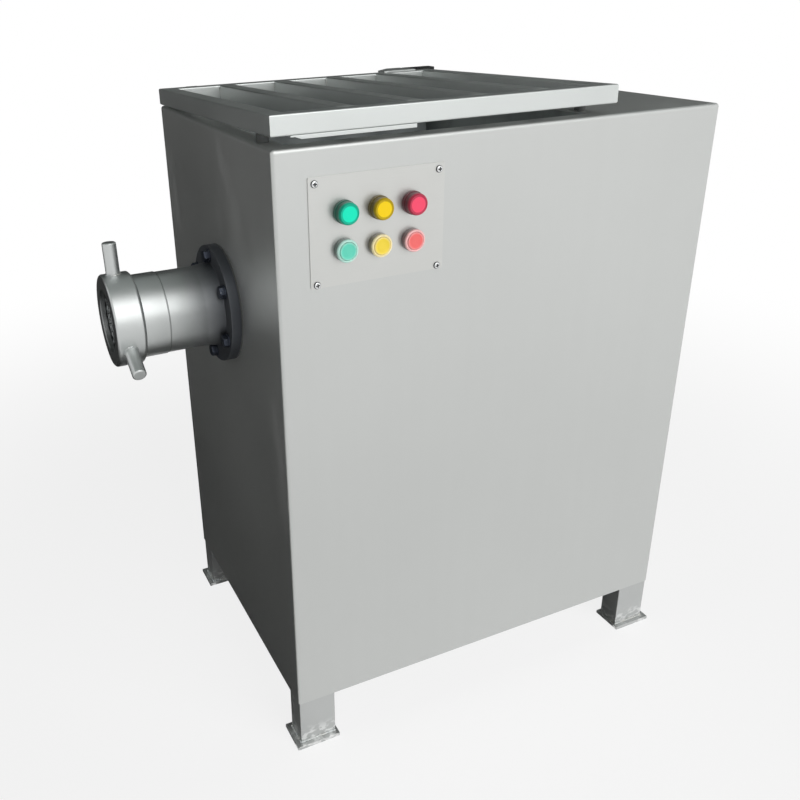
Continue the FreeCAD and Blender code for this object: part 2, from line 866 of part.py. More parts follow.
def cover_bolt_places():
    """Return the (y, z) places of the bolts round the gearbox cover."""
    y0, y1, z0, z1 = gearbox_box(gearbox_wall / 2)
    middle = (z0 + z1) / 2
    inset = cover_margin
    places = [(y, z) for y in (y0, y1) for z in (z0 + inset, middle, z1 - inset)]
    return places + [(axis_y, z0), (axis_y, z1)]


def gearbox_bolts():
    """Cover bolts: a hexagon head and the shank in the cover."""
    bolts = []
    x0 = cover_start()
    x1 = x0 + gearbox_cover_thickness
    for y, z in cover_bolt_places():
        head = hexagon(cover_bolt_flats, x1, x1 + cover_bolt_head, y, z)
        bolts.append(head.fuse(rod(cover_bolt_radius, V(x0, y, z), V(x1, y, z))))
    return group(bolts)


def gearbox_bearings():
    """The four bearings of the gearbox shafts."""
    rings = []
    left = gearbox_start + gearbox_wall / 2
    right = cover_start() + gearbox_cover_thickness - gearbox_wall / 2 - bearing_width
    for z, shaft, bearing in shaft_places():
        for x in (left, right):
            start = V(x, axis_y, z)
            end = V(x + bearing_width, axis_y, z)
            rings.append(rod(bearing, start, end).cut(rod(shaft + shaft_gap, start, end)))
    return group(rings)


def gearbox_bracket():
    """Portal of square tube across the cabinet, with the plate that carries the gearbox."""
    y0, y1, z0, z1 = gearbox_box(gearbox_wall)
    plate_z = z0 - gearbox_wall
    beam_z = plate_z - rail_size
    x0, x1 = post_start, post_start + rail_size
    foot = leg_height + rail_size
    near, far = sheet, cabinet_depth - sheet
    posts = [square_tube(x0, x1, y, y + rail_size, foot, beam_z, rail_wall, "z")
             for y in (near, far - rail_size)]
    beam = square_tube(x0, x1, near, far, beam_z, plate_z, rail_wall, "y")
    plate = box(gearbox_start, gearbox_start + gearbox_length, y0, y1, plate_z, z0)
    return group(posts + [beam, plate])


def groove_profile(radius, hub, bore):
    """Return the outline of a grooved sheave of one radius."""
    x0, x1 = sheave_start, sheave_end()
    narrow = groove_width / 2 - groove_depth * math.tan(math.radians(groove_angle))
    profile = [(x0, bore), (x0, radius)]
    for i in range(belt_count):
        centre = x0 + sheave_edge + i * belt_pitch
        profile += [(centre - groove_width / 2, radius), (centre - narrow, radius - groove_depth),
                    (centre + narrow, radius - groove_depth), (centre + groove_width / 2, radius)]
    profile += [(x1, radius), (x1, bore)]
    if hub is None:
        return profile
    middle = (x0 + x1) / 2
    rim = radius - sheave_rim
    inner = [(x1, rim), (middle + sheave_web / 2, rim), (middle + sheave_web / 2, hub), (x1, hub)]
    mirror = [(x0, hub), (middle - sheave_web / 2, hub), (middle - sheave_web / 2, rim), (x0, rim)]
    return profile[1:-1] + inner + [(x1, bore), (x0, bore)] + mirror


def large_sheave():
    """Driven sheave with a web and lightening holes."""
    z = input_z()
    sheave = turned(groove_profile(large_sheave_radius, sheave_hub, input_radius), axis_y, z)
    middle = (large_sheave_radius - sheave_rim + sheave_hub) / 2
    for angle in sheave_hole_angles:
        turn = math.radians(angle)
        y = axis_y + middle * math.cos(turn)
        height = z + middle * math.sin(turn)
        sheave = sheave.cut(rod(sheave_hole, V(sheave_start, y, height), V(sheave_end(), y, height)))
    return sheave


def motor_z():
    """Height of the motor's shaft."""
    return leg_height + rail_size + motor_rail_height + motor_axis_height


def small_sheave():
    """Driving sheave on the motor shaft."""
    return turned(groove_profile(small_sheave_radius, None, motor_shaft), axis_y, motor_z())


def belt_path(x, crown):
    """Return the closed outer line of one belt round both sheaves, from its crown."""
    top_z, low_z = input_z(), motor_z()
    big = crown.z - top_z
    small = small_sheave_radius - face_gap
    drop = (big - small) / (top_z - low_z)
    side = math.sqrt(1 - drop * drop)
    bend = math.sqrt(0.5)
    foot = V(x, axis_y, low_z - small)
    tops = [V(x, axis_y + way * big * side, top_z - big * drop) for way in (1, -1)]
    lows = [V(x, axis_y + way * small * side, low_z - small * drop) for way in (1, -1)]
    bends = [V(x, axis_y + way * big * bend, top_z + big * bend) for way in (1, -1)]
    return Part.Wire([Part.Arc(crown, bends[0], tops[0]).toShape(), Part.makeLine(tops[0], lows[0]),
                      Part.Arc(lows[0], foot, lows[1]).toShape(), Part.makeLine(lows[1], tops[1]),
                      Part.Arc(tops[1], bends[1], crown).toShape()])


def v_belts():
    """V-belts round both sheaves, a running gap clear of the grooves."""
    belts = []
    half = belt_top_width / 2
    narrow = half - belt_height * math.tan(math.radians(groove_angle))
    for i in range(belt_count):
        x = sheave_start + sheave_edge + i * belt_pitch
        crown = V(x, axis_y, input_z() + large_sheave_radius - face_gap)
        base_z = crown.z - belt_height
        section = [V(x - half, axis_y, crown.z), V(x + half, axis_y, crown.z),
                   V(x + narrow, axis_y, base_z), V(x - narrow, axis_y, base_z)]
        outline = Part.makePolygon(section + section[:1])
        belts.append(belt_path(x, crown).makePipeShell([outline], True, False))
    return group(belts)


def motor_rail_places():
    """Return the X of the two motor rails, under the motor's feet."""
    return [post_start - motor_to_post - motor_rail_width / 2 - motor_foot_spacing,
            post_start - motor_to_post - motor_rail_width / 2]


def motor_rails():
    """Two channels across the base frame, open underneath."""
    rails = []
    z0 = leg_height + rail_size
    for centre in motor_rail_places():
        x0, x1 = centre - motor_rail_width / 2, centre + motor_rail_width / 2
        channel = box(x0, x1, sheet, cabinet_depth - sheet, z0, z0 + motor_rail_height)
        rails.append(channel.cut(box(x0 + motor_rail_wall, x1 - motor_rail_wall, sheet,
                                     cabinet_depth - sheet, z0,
                                     z0 + motor_rail_height - motor_rail_wall)))
    return group(rails)


def motor_foot(centre, side):
    """Return one bolted-on foot: a pad on its rail and a web up to the frame."""
    y = axis_y + side * motor_foot_spread
    half = motor_foot_width / 2
    foot_z = motor_z() - motor_axis_height
    pad = box(centre - motor_rail_width / 2, centre + motor_rail_width / 2, y - half, y + half,
              foot_z, foot_z + motor_foot_height)
    near = y - side * half
    web = box(centre - motor_fin, centre + motor_fin, min(near, y), max(near, y),
              foot_z, motor_z() - motor_core / 2)
    return joined([pad, web])


def motor_housing():
    """Finned motor frame and its four feet."""
    z = motor_z()
    x0, x1 = motor_start, motor_start + motor_length
    pieces = [rod(motor_core, V(x0, axis_y, z), V(x1, axis_y, z))]
    for i in range(motor_fins):
        angle = 360.0 * (i + 0.5) / motor_fins
        if abs(angle - 90) > motor_bare_angle:
            fin = box(x0, x1, axis_y - motor_fin / 2, axis_y + motor_fin / 2, z + motor_core - motor_fin,
                      z + motor_fin_reach)
            fin.rotate(V(0, axis_y, z), V(1, 0, 0), angle - 90)
            pieces.append(fin)
    saddle_x = x0 + motor_foot_width
    pieces.append(box(saddle_x, saddle_x + terminal_box_length, axis_y - terminal_box_width / 2,
                      axis_y + terminal_box_width / 2, z, z + motor_fin_reach))
    body = joined(pieces)
    feet = [motor_foot(centre, side).cut(body) for centre in motor_rail_places() for side in (-1, 1)]
    return group([body.cut(rod(motor_bore, V(x0, axis_y, z), V(x1, axis_y, z)))] + feet)


def motor_end_shields():
    """Bearing shields at both ends of the motor."""
    z = motor_z()
    shields = []
    for x in (motor_start - motor_shield, motor_start + motor_length):
        start, end = V(x, axis_y, z), V(x + motor_shield, axis_y, z)
        shield = rod(motor_shield_radius, start, end)
        edges = [e for e in shield.Edges if e.Curve.TypeId == "Part::GeomCircle"]
        shield = shield.makeChamfer(motor_shield_chamfer, edges)
        shields.append(shield.cut(rod(motor_shaft + shaft_gap, start, end)))
    return group(shields)


def motor_fan_cover():
    """Sheet cowl over the fan, with a ring of air slots in its end."""
    z = motor_z()
    start = motor_start - motor_shield - fan_cover_length
    end = motor_start - motor_shield + fan_cover_lap
    cowl = rod(fan_cover_radius, V(start, axis_y, z), V(end, axis_y, z))
    cowl = cowl.cut(rod(motor_shield_radius, V(start + fan_cover_wall, axis_y, z), V(end, axis_y, z)))
    for i in range(air_slots):
        slot = box(start - fan_cover_wall, start + 2 * fan_cover_wall, axis_y - air_slot_width / 2,
                   axis_y + air_slot_width / 2, z + air_slot_start, z + air_slot_end)
        slot.rotate(V(0, axis_y, z), V(1, 0, 0), 360.0 * i / air_slots)
        cowl = cowl.cut(slot)
    return cowl


def motor_terminal_box():
    """Terminal box on top of the motor, with a lid that stands out a little."""
    z0 = motor_z() + motor_fin_reach
    x0 = motor_start + motor_foot_width
    x1 = x0 + terminal_box_length
    half = terminal_box_width / 2
    top = z0 + terminal_box_height
    base = box(x0 + fan_cover_wall, x1 - fan_cover_wall, axis_y - half + fan_cover_wall,
               axis_y + half - fan_cover_wall, z0, top - terminal_lid)
    return base.fuse(box(x0, x1, axis_y - half, axis_y + half, top - terminal_lid, top))


def motor_rotor():
    """Motor shaft with the rotor core."""
    z = motor_z()
    start = motor_start - motor_shield - fan_cover_length / 2
    shaft = rod(motor_shaft, V(start, axis_y, z), V(sheave_end(), axis_y, z))
    core = rod(motor_bore - motor_air_gap, V(motor_start + motor_shield, axis_y, z),
               V(motor_start + motor_length - motor_shield, axis_y, z))
    return shaft.fuse(core)


def motor_fan():
    """Radial fan on the back end of the motor shaft."""
    z = motor_z()
    start = motor_start - motor_shield - fan_cover_length / 2
    end = start + fan_width
    hub = rod(motor_shaft + motor_fin, V(start, axis_y, z), V(end, axis_y, z))
    disc = rod(fan_radius, V(end - motor_fin, axis_y, z), V(end, axis_y, z))
    pieces = [hub, disc]
    for i in range(fan_blades):
        blade = box(start, end, axis_y - motor_fin / 2, axis_y + motor_fin / 2,
                    z + motor_shaft, z + fan_radius)
        blade.rotate(V(0, axis_y, z), V(1, 0, 0), 360.0 * i / fan_blades)
        pieces.append(blade)
    return joined(pieces).cut(rod(motor_shaft, V(start, axis_y, z), V(end, axis_y, z)))


def tilted(shape):
    """Turn a guard piece from flat to its resting slope about the hinge."""
    shape.rotate(V(0, hinge_y, hinge_z), V(1, 0, 0), -guard_tilt)
    return shape


def guard_levels():
    """Return the lower and upper face of the guard before it is tilted."""
    low = deck_z + guard_seat
    return low, low + guard_tube


def guard_frame():
    """Four square tubes of the guard, mitred at the corners."""
    low, high = guard_levels()
    size = guard_tube
    length, depth = guard_length, guard_depth
    corners = [(0, 0), (length, 0), (length, depth), (0, depth)]
    inner = [(size, size), (length - size, size), (length - size, depth - size), (size, depth - size)]
    tubes = []
    for i in range(4):
        j = (i + 1) % 4
        outline = [V(x, y, low) for x, y in (corners[i], corners[j], inner[j], inner[i])]
        bar = prism(outline, V(0, 0, size))
        x0, x1 = min(p.x for p in outline), max(p.x for p in outline)
        y0, y1 = min(p.y for p in outline), max(p.y for p in outline)
        if i % 2 == 0:
            y0, y1 = y0 + guard_wall, y1 - guard_wall
        else:
            x0, x1 = x0 + guard_wall, x1 - guard_wall
        bar = bar.cut(box(x0, x1, y0, y1, low + guard_wall, high - guard_wall))
        tubes.append(tilted(bar))
    return group(tubes)


def slat_starts():
    """Return the X of each cross tube of the guard, evenly spaced between the side tubes."""
    free = guard_length - guard_tube * (guard_slat_count + 2)
    gap = free / (guard_slat_count + 1)
    return [guard_tube + gap + i * (guard_tube + gap) for i in range(guard_slat_count)]


def guard_slats():
    """Square tubes that run from front to back inside the guard."""
    low, high = guard_levels()
    return group([tilted(square_tube(x, x + guard_tube, guard_tube, guard_depth - guard_tube,
                                     low, high, guard_wall, "y")) for x in slat_starts()])


def guard_lift_lip():
    """Folded strip under the front tube, to lift the guard by."""
    low = guard_levels()[0]
    top = low
    bottom = low - lip_drop
    face = prism([V(lip_start, 0, top), V(lip_end, 0, top), V(lip_end, 0, bottom),
                  V(lip_start + lip_slant, 0, bottom)], V(0, lip_sheet, 0))
    leg = box(lip_start, lip_end, 0, lip_leg, top - lip_sheet, top)
    return tilted(face.fuse(leg).removeSplitter())


def hinge_ear(centre):
    """Guard-side ear of one hinge, before tilting."""
    x0, x1 = centre - guard_ear / 2, centre + guard_ear / 2
    arm = box(x0, x1, guard_depth, hinge_y, hinge_z - hinge_eye, hinge_z + hinge_eye)
    eye = rod(hinge_eye, V(x0, hinge_y, hinge_z), V(x1, hinge_y, hinge_z))
    return arm.fuse(eye)


def guard_hinge_leaves():
    """Ears welded to the rear tube, and the corner leaf over the right hinge."""
    top = guard_levels()[1]
    left = hinge_ear(hinge_left)
    back = guard_depth + leaf_reach
    outline = [V(leaf_start, guard_depth - guard_tube, top), V(leaf_end, guard_depth - guard_tube, top),
               V(leaf_end, back, top), V(leaf_start + leaf_reach, back, top),
               V(leaf_start, guard_depth, top)]
    leaf = prism(outline, V(0, 0, leaf_thickness))
    web = box(hinge_right - guard_ear / 2, hinge_right + guard_ear / 2, guard_depth, hinge_y,
              hinge_z, top)
    right = joined([hinge_ear(hinge_right), leaf, web])
    leaves = []
    for shape in (left, right):
        shape = shape.cut(rod(hinge_pin, V(0, hinge_y, hinge_z), V(guard_length, hinge_y, hinge_z)))
        leaves.append(tilted(shape))
    return group(leaves)


def hinge_pins():
    """Hinge pins fixed in the guard's ears; the right one also drives the safety switch."""
    side = guard_ear / 2 + ear_gap + bracket_ear
    left = rod(hinge_pin, V(hinge_left - side, hinge_y, hinge_z), V(hinge_left + side, hinge_y, hinge_z))
    end = switch_start + switch_length / 2
    right = rod(hinge_pin, V(hinge_right - side, hinge_y, hinge_z), V(end, hinge_y, hinge_z))
    return group([left, right])


def hinge_brackets():
    """Fixed hinge brackets on the rear flange of the deck."""
    brackets = []
    base_z = bracket_z
    top_z = base_z + bracket_height
    for centre in (hinge_left, hinge_right):
        inside = guard_ear / 2 + ear_gap
        outside = inside + bracket_ear
        pieces = [box(centre - outside, centre + outside, cabinet_depth, cabinet_depth + bracket_base,
                      base_z, top_z)]
        for x0 in (centre - outside, centre + inside):
            outline = [V(x0, cabinet_depth + bracket_base / 2, base_z),
                       V(x0, cabinet_depth + bracket_base / 2, top_z),
                       V(x0, hinge_y - hinge_eye, hinge_z), V(x0, hinge_y + hinge_eye, hinge_z),
                       V(x0, cabinet_depth + 2 * bracket_base, base_z)]
            pieces.append(prism(outline, V(bracket_ear, 0, 0)))
            pieces.append(rod(hinge_eye, V(x0, hinge_y, hinge_z), V(x0 + bracket_ear, hinge_y, hinge_z)))
        bore = rod(hinge_pin + shaft_gap, V(centre - outside, hinge_y, hinge_z),
                   V(centre + outside, hinge_y, hinge_z))
        brackets.append(joined(pieces).cut(bore))
    return group(brackets)


def hinge_switch():
    """Safety switch on the hinge axis, fixed to the rear flange of the deck."""
    half = switch_half
    bottom = bracket_z
    outline = [V(switch_start, cabinet_depth, bottom), V(switch_start, cabinet_depth, deck_z - sheet),
               V(switch_start, hinge_y - half, deck_z + sheet), V(switch_start, hinge_y - half, hinge_z + half),
               V(switch_start, hinge_y + half, hinge_z + half), V(switch_start, hinge_y + half, hinge_z - half),
               V(switch_start, hinge_y, bottom)]
    body = prism(outline, V(switch_length, 0, 0))
    bore = rod(hinge_pin + shaft_gap, V(switch_start, hinge_y, hinge_z),
               V(switch_start + switch_length / 2 + face_gap, hinge_y, hinge_z))
    return body.cut(bore)


def guard_buffers():
    """Rubber stops on the deck under the side tubes of the guard."""
    slope = math.radians(guard_tilt)
    low = guard_levels()[0]
    buffers = []
    for x in (guard_tube / 2, guard_length - guard_tube / 2):
        reach = hinge_y - buffer_back - buffer_radius
        top = hinge_z + (low - hinge_z) * math.cos(slope) + reach * math.sin(slope) - face_gap
        buffers.append(rod(buffer_radius, V(x, buffer_back, deck_z), V(x, buffer_back, top)))
    return group(buffers)


def panel_screw_places():
    """Return the (x, z) places of the four control panel screws."""
    return [(x, z) for x in (panel_start + panel_screw_inset, panel_end - panel_screw_inset)
            for z in (panel_bottom + panel_screw_inset / 2, panel_top - panel_screw_inset)]


def control_plate():
    """Thin plate with rounded corners and holes for the lamps, buttons and screws."""
    plate = box(panel_start, panel_end, panel_front, 0, panel_bottom, panel_top)
    corners = [e for e in plate.Edges if e.BoundBox.YLength > panel_thickness / 2]
    plate = plate.makeFillet(panel_corner, corners)
    for column in device_columns:
        for row in (lamp_row, button_row):
            plate = plate.cut(rod(device_hole, V(column, panel_front, row), V(column, 0, row)))
    for x, z in panel_screw_places():
        plate = plate.cut(rod(panel_screw_radius, V(x, panel_front, z), V(x, 0, z)))
    return plate


def control_plate_screws():
    """Dome screws at the corners of the control plate."""
    screws = []
    for x, z in panel_screw_places():
        shank = rod(panel_screw_radius, V(x, sheet, z), V(x, panel_front, z))
        head = Part.makeCone(panel_screw_head, panel_screw_head / 2, panel_screw_height,
                             V(x, panel_front, z), V(0, -1, 0))
        screws.append(shank.fuse(head))
    return group(screws)


def lamp_lens(column):
    """Coloured lens of an indicator lamp: a stepped drum with a rounded rim and a low dome."""
    out = panel_thickness
    front = out + lamp_height
    drum = lamp_radius - lamp_step
    profile = [(out, 0), (out, lamp_radius), (out + lamp_base, lamp_radius), (out + lamp_base, drum),
               (front - lamp_round, drum - lamp_draft), (front - lamp_step, drum - lamp_round), (front, 0)]
    return turned_front(profile, column, lamp_row)


def button_bezels():
    """Round bezels of the three push buttons, each open in the middle."""
    out = panel_thickness
    inner = bezel_radius - bezel_rim
    front = out + bezel_height
    profile = [(out, inner), (out, bezel_radius), (front - bezel_edge, bezel_radius),
               (front, bezel_radius - bezel_edge), (front, inner)]
    return group([turned_front(profile, column, button_row) for column in device_columns])


def button_cap(column):
    """Moving cap of one push button, a little proud of its bezel."""
    front = panel_thickness + bezel_height
    back = front - cap_height
    profile = [(back, 0), (back, cap_radius), (front, cap_radius),
               (front + cap_dome, cap_radius - cap_dome), (front + cap_dome, 0)]
    return turned_front(profile, column, button_row)


def switch_bodies():
    """Bodies of the lamps and buttons behind the panel: barrel, ring nut and block."""
    bodies = []
    back = sheet + device_nut
    for row in (lamp_row, button_row):
        for column in device_columns:
            front = -panel_thickness
            if row == button_row:
                front = 0.0
            pieces = [rod(device_barrel, V(column, front, row), V(column, back, row)),
                      rod(device_nut_radius, V(column, sheet, row), V(column, back, row)),
                      box(column - device_block / 2, column + device_block / 2, back,
                          back + device_block_depth, row - device_block / 2, row + device_block / 2)]
            bodies.append(joined(pieces))
    return group(bodies)


def electrical_enclosure():
    """Steel box and lid for the contactors, on the inside of the front panel."""
    x1 = enclosure_start + enclosure_length
    y0, y1 = sheet, sheet + enclosure_depth
    z1 = enclosure_bottom + enclosure_height
    wall = enclosure_wall
    tray = box(enclosure_start, x1, y0, y1 - wall, enclosure_bottom, z1)
    tray = tray.cut(box(enclosure_start + wall, x1 - wall, y0 + wall, y1 - wall,
                        enclosure_bottom + wall, z1 - wall))
    lid = box(enclosure_start, x1, y1 - wall, y1, enclosure_bottom, z1)
    return group([tray, lid])


def cable_gland():
    """Cable gland through the right end panel: lock nut, hexagon body and cap."""
    x0 = cabinet_length
    inside = x0 - sheet
    pieces = [hexagon(gland_flats, inside - gland_nut, inside, gland_y, gland_z),
              rod(gland_thread, V(inside, gland_y, gland_z), V(x0, gland_y, gland_z)),
              hexagon(gland_flats, x0, x0 + gland_body, gland_y, gland_z)]
    cap = Part.makeCone(gland_flats / 2, gland_thread, gland_cap, V(x0 + gland_body, gland_y, gland_z),
                        V(1, 0, 0))
    bore = rod(gland_bore, V(inside - gland_nut, gland_y, gland_z),
               V(x0 + gland_body + gland_cap, gland_y, gland_z))
    return joined(pieces + [cap]).cut(bore)


def build():
    """Return every part by name, in the working frame."""
    shell = folded_shell()
    parts = {
        "front_panel": front_panel(shell),
        "left_end_panel": left_end_panel(shell),
        "right_end_panel": right_end_panel(shell),
        "top_plate": top_plate(shell),
        "rear_panel": rear_panel(),
        "rear_panel_screws": rear_panel_screws(),
        "base_frame": base_frame(),
        "legs": legs(),
        "foot_plates": foot_plates(),
        "hopper": hopper(),
        "shaft_seal": shaft_seal(),
        "barrel": barrel(),
        "barrel_gasket": barrel_gasket(),
        "barrel_bolts": barrel_bolts(),
        "barrel_washers": barrel_washers(),
        "plate_key": key_rod(key_radius),
        "cutting_plate": cutting_plate(),
        "ring_nut": ring_nut(),
        "ring_handles": group(handle_bars()),
        "feed_screw": feed_screw(),
        "knife": knife(),
        "output_shaft": output_shaft(),
        "output_gear": output_gear(),
        "input_shaft": input_shaft(),
        "gearbox_housing": gearbox_housing(),
        "gearbox_cover": gearbox_cover(),
        "gearbox_bolts": gearbox_bolts(),
        "gearbox_bearings": gearbox_bearings(),
        "gearbox_bracket": gearbox_bracket(),
        "large_sheave": large_sheave(),
        "small_sheave": small_sheave(),
        "v_belts": v_belts(),
        "motor_rails": motor_rails(),
        "motor_housing": motor_housing(),
        "motor_end_shields": motor_end_shields(),
        "motor_fan_cover": motor_fan_cover(),
        "motor_terminal_box": motor_terminal_box(),
        "motor_rotor": motor_rotor(),
        "motor_fan": motor_fan(),
        "guard_frame": guard_frame(),
        "guard_slats": guard_slats(),
        "guard_lift_lip": guard_lift_lip(),
        "guard_hinge_leaves": guard_hinge_leaves(),
        "hinge_pins": hinge_pins(),
        "hinge_brackets": hinge_brackets(),
        "hinge_switch": hinge_switch(),
        "guard_buffers": guard_buffers(),
        "control_plate": control_plate(),
        "control_plate_screws": control_plate_screws(),
        "button_bezels": button_bezels(),
        "switch_bodies": switch_bodies(),
        "electrical_enclosure": electrical_enclosure(),
        "cable_gland": cable_gland(),
    }
    for colour, column in zip(("green", "yellow", "red"), device_columns):
        parts["lamp_lens_" + colour] = lamp_lens(column)
        parts["button_cap_" + colour] = button_cap(column)
    return parts


def centred(parts):
    """Move every part so that the origin is on the floor under the middle of the outline."""
    outline = FreeCAD.BoundBox()
    for shape in parts.values():
        outline.add(shape.BoundBox)
    shift = V(-outline.Center.x, -outline.Center.y, 0)
    for shape in parts.values():
        shape.translate(shift)
    return shift


os.makedirs("parts", exist_ok=True)
grinder = build()
offset = centred(grinder)
print("working frame moved by", round(offset.x, 3), round(offset.y, 3))
for name, shape in grinder.items():
    shape.exportStep("parts/" + name + ".step")
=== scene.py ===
# Looks of a floor-standing meat grinder, built round its packed construction: sheet cabinet,
# guard, turned head, control panel, service side and drive. Lengths are metres unless a name
# ends in _mm.
import json
import math

import bmesh
import bpy
from mathutils import Matrix, Vector

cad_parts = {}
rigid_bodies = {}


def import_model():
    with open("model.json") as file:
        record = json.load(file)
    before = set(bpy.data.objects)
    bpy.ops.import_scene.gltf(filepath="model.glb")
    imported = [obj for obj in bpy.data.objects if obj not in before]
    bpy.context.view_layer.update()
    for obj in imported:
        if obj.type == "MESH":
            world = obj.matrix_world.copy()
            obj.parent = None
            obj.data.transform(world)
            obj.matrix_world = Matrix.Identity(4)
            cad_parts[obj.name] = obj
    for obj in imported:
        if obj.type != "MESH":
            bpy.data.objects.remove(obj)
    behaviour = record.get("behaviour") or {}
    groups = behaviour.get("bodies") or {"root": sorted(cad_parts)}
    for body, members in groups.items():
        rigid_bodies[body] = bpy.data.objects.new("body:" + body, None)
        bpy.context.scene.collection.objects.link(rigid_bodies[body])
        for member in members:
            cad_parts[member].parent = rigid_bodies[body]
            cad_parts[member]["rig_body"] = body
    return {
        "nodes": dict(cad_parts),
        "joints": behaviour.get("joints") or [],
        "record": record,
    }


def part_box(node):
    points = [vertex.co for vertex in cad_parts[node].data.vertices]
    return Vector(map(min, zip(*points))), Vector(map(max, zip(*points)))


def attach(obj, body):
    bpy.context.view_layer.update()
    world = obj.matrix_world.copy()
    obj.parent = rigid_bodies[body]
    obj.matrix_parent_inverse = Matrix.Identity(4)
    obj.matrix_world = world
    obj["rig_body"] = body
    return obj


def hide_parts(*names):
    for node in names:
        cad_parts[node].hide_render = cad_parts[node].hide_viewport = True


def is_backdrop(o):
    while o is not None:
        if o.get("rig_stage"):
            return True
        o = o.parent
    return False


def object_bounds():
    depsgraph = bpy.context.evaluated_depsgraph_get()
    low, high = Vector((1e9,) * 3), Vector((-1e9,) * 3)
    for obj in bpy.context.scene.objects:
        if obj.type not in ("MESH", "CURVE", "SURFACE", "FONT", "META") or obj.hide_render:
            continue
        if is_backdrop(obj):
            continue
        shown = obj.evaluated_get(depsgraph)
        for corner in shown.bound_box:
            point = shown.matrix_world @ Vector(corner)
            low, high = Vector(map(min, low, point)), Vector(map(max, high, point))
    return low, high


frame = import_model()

bl_info = {
    "name": "Meat grinder looks",
    "version": (1, 0, 0),
    "blender": (4, 5, 0),
    "location": "3D View > Sidebar > Grinder",
    "description": "Detailed pieces, finishes and a studio for a floor-standing meat grinder",
    "category": "Object",
}

MM = 0.001
MICRON = 0.000001
FULL_TURN = 2 * math.pi
QUARTER_TURN = math.pi / 2
RIGHT = Vector((1, 0, 0))
UP = Vector((0, 0, 1))
OUT_OF_PANEL = Vector((0, -1, 0))
TURNED_GAP = 0.3 * MM


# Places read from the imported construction

def low(node):
    """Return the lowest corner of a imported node."""
    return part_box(node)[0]


def high(node):
    """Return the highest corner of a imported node."""
    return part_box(node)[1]


def middle(node):
    """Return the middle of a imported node's box."""
    return (low(node) + high(node)) / 2


def radius_of(node):
    """Return the radius of a round node, which is half of its height."""
    return (high(node).z - low(node).z) / 2


def joint_place(name):
    """Return a point on the axis of a hinge."""
    return Vector(next(joint["pos_m"] for joint in frame["joints"] if joint["name"] == name))


CORNER = Vector((*low("front_panel").xy, 0.0))
HEAD_AXIS = joint_place("screw_spin")
GUARD_AXIS = joint_place("guard_hinge")
SLOT_OF = {part["node"]: part["material_slot"] for part in frame["record"]["subparts"]}
BODY_OF = {name: node["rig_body"] for name, node in frame["nodes"].items()}
COLOURS = ("green", "yellow", "red")


def at(x_mm, y_mm, z_mm):
    """Return a point measured from the cabinet's front left edge on the floor."""
    return CORNER + Vector((x_mm, y_mm, z_mm)) * MM


def on_axis(x):
    """Return a point on the axis of the head."""
    return Vector((x, HEAD_AXIS.y, HEAD_AXIS.z))


# Shader and geometry maths

def operator(operation, swapped=False):
    """Return an arithmetic method that adds one Math node."""
    def apply(self, other):
        first, second = (other, self) if swapped else (self, other)
        return self.board.math(operation, first, second)
    return apply


class Wire:
    """One output of a node; arithmetic on it adds Math nodes to the same tree."""

    def __init__(self, board, socket):
        self.board = board
        self.socket = socket

    __add__ = operator("ADD")
    __radd__ = operator("ADD", swapped=True)
    __sub__ = operator("SUBTRACT")
    __rsub__ = operator("SUBTRACT", swapped=True)
    __mul__ = operator("MULTIPLY")
    __rmul__ = operator("MULTIPLY", swapped=True)
    __truediv__ = operator("DIVIDE")


class Board:
    """Adds nodes to one node tree."""

    def __init__(self, tree):
        self.tree = tree

    def node(self, kind, settings=None, sockets=None, output=0):
        """Add a node: its settings first, then the values or links of its sockets."""
        made = self.tree.nodes.new(kind)
        for name, value in (settings or {}).items():
            setattr(made, name, value)
        for key, value in (sockets or {}).items():
            for one in value if isinstance(value, list) else [value]:
                if isinstance(one, Wire):
                    self.tree.links.new(one.socket, made.inputs[key])
                else:
                    made.inputs[key].default_value = one
        return Wire(self, made.outputs[output]) if made.outputs else None

    def math(self, operation, *values):
        """Add a Math node on one, two or three values."""
        return self.node("ShaderNodeMath", {"operation": operation}, dict(enumerate(values)))

    def vector(self, operation, *values):
        """Add a Vector Math node."""
        return self.node("ShaderNodeVectorMath", {"operation": operation}, dict(enumerate(values)))

    def combine(self, x, y, z):
        """Return a vector from three numbers."""
        return self.node("ShaderNodeCombineXYZ", {}, {"X": x, "Y": y, "Z": z})

    def separate(self, vector):
        """Return the three numbers of a vector."""
        first = self.node("ShaderNodeSeparateXYZ", {}, {"Vector": vector})
        return [Wire(self, socket) for socket in first.socket.node.outputs]

    def between(self, value, start, end):
        """Return a smooth step of a value, 0 at the start and 1 at the end."""
        return self.node("ShaderNodeMapRange", {"interpolation_type": "SMOOTHSTEP"},
                         {0: value, 1: start, 2: end})


# Finishes

def tint(code):
    """Return the linear colour of a code such as #C8C9C6."""
    parts = [int(code[i:i + 2], 16) / 255 for i in (1, 3, 5)]
    linear = [c / 12.92 if c <= 0.04045 else ((c + 0.055) / 1.055) ** 2.4 for c in parts]
    return (*linear, 1.0)


def lighter(colour, share):
    """Return a colour moved towards white."""
    return tuple(c + (1 - c) * share for c in colour[:3]) + (1.0,)


def darker(colour, share):
    """Return a colour moved towards black."""
    return tuple(c * (1 - share) for c in colour[:3]) + (1.0,)


def setting(group, name):
    """Return a colour from the settings, with its alpha."""
    return (*getattr(getattr(bpy.context.scene, "grinder_" + group), name), 1.0)


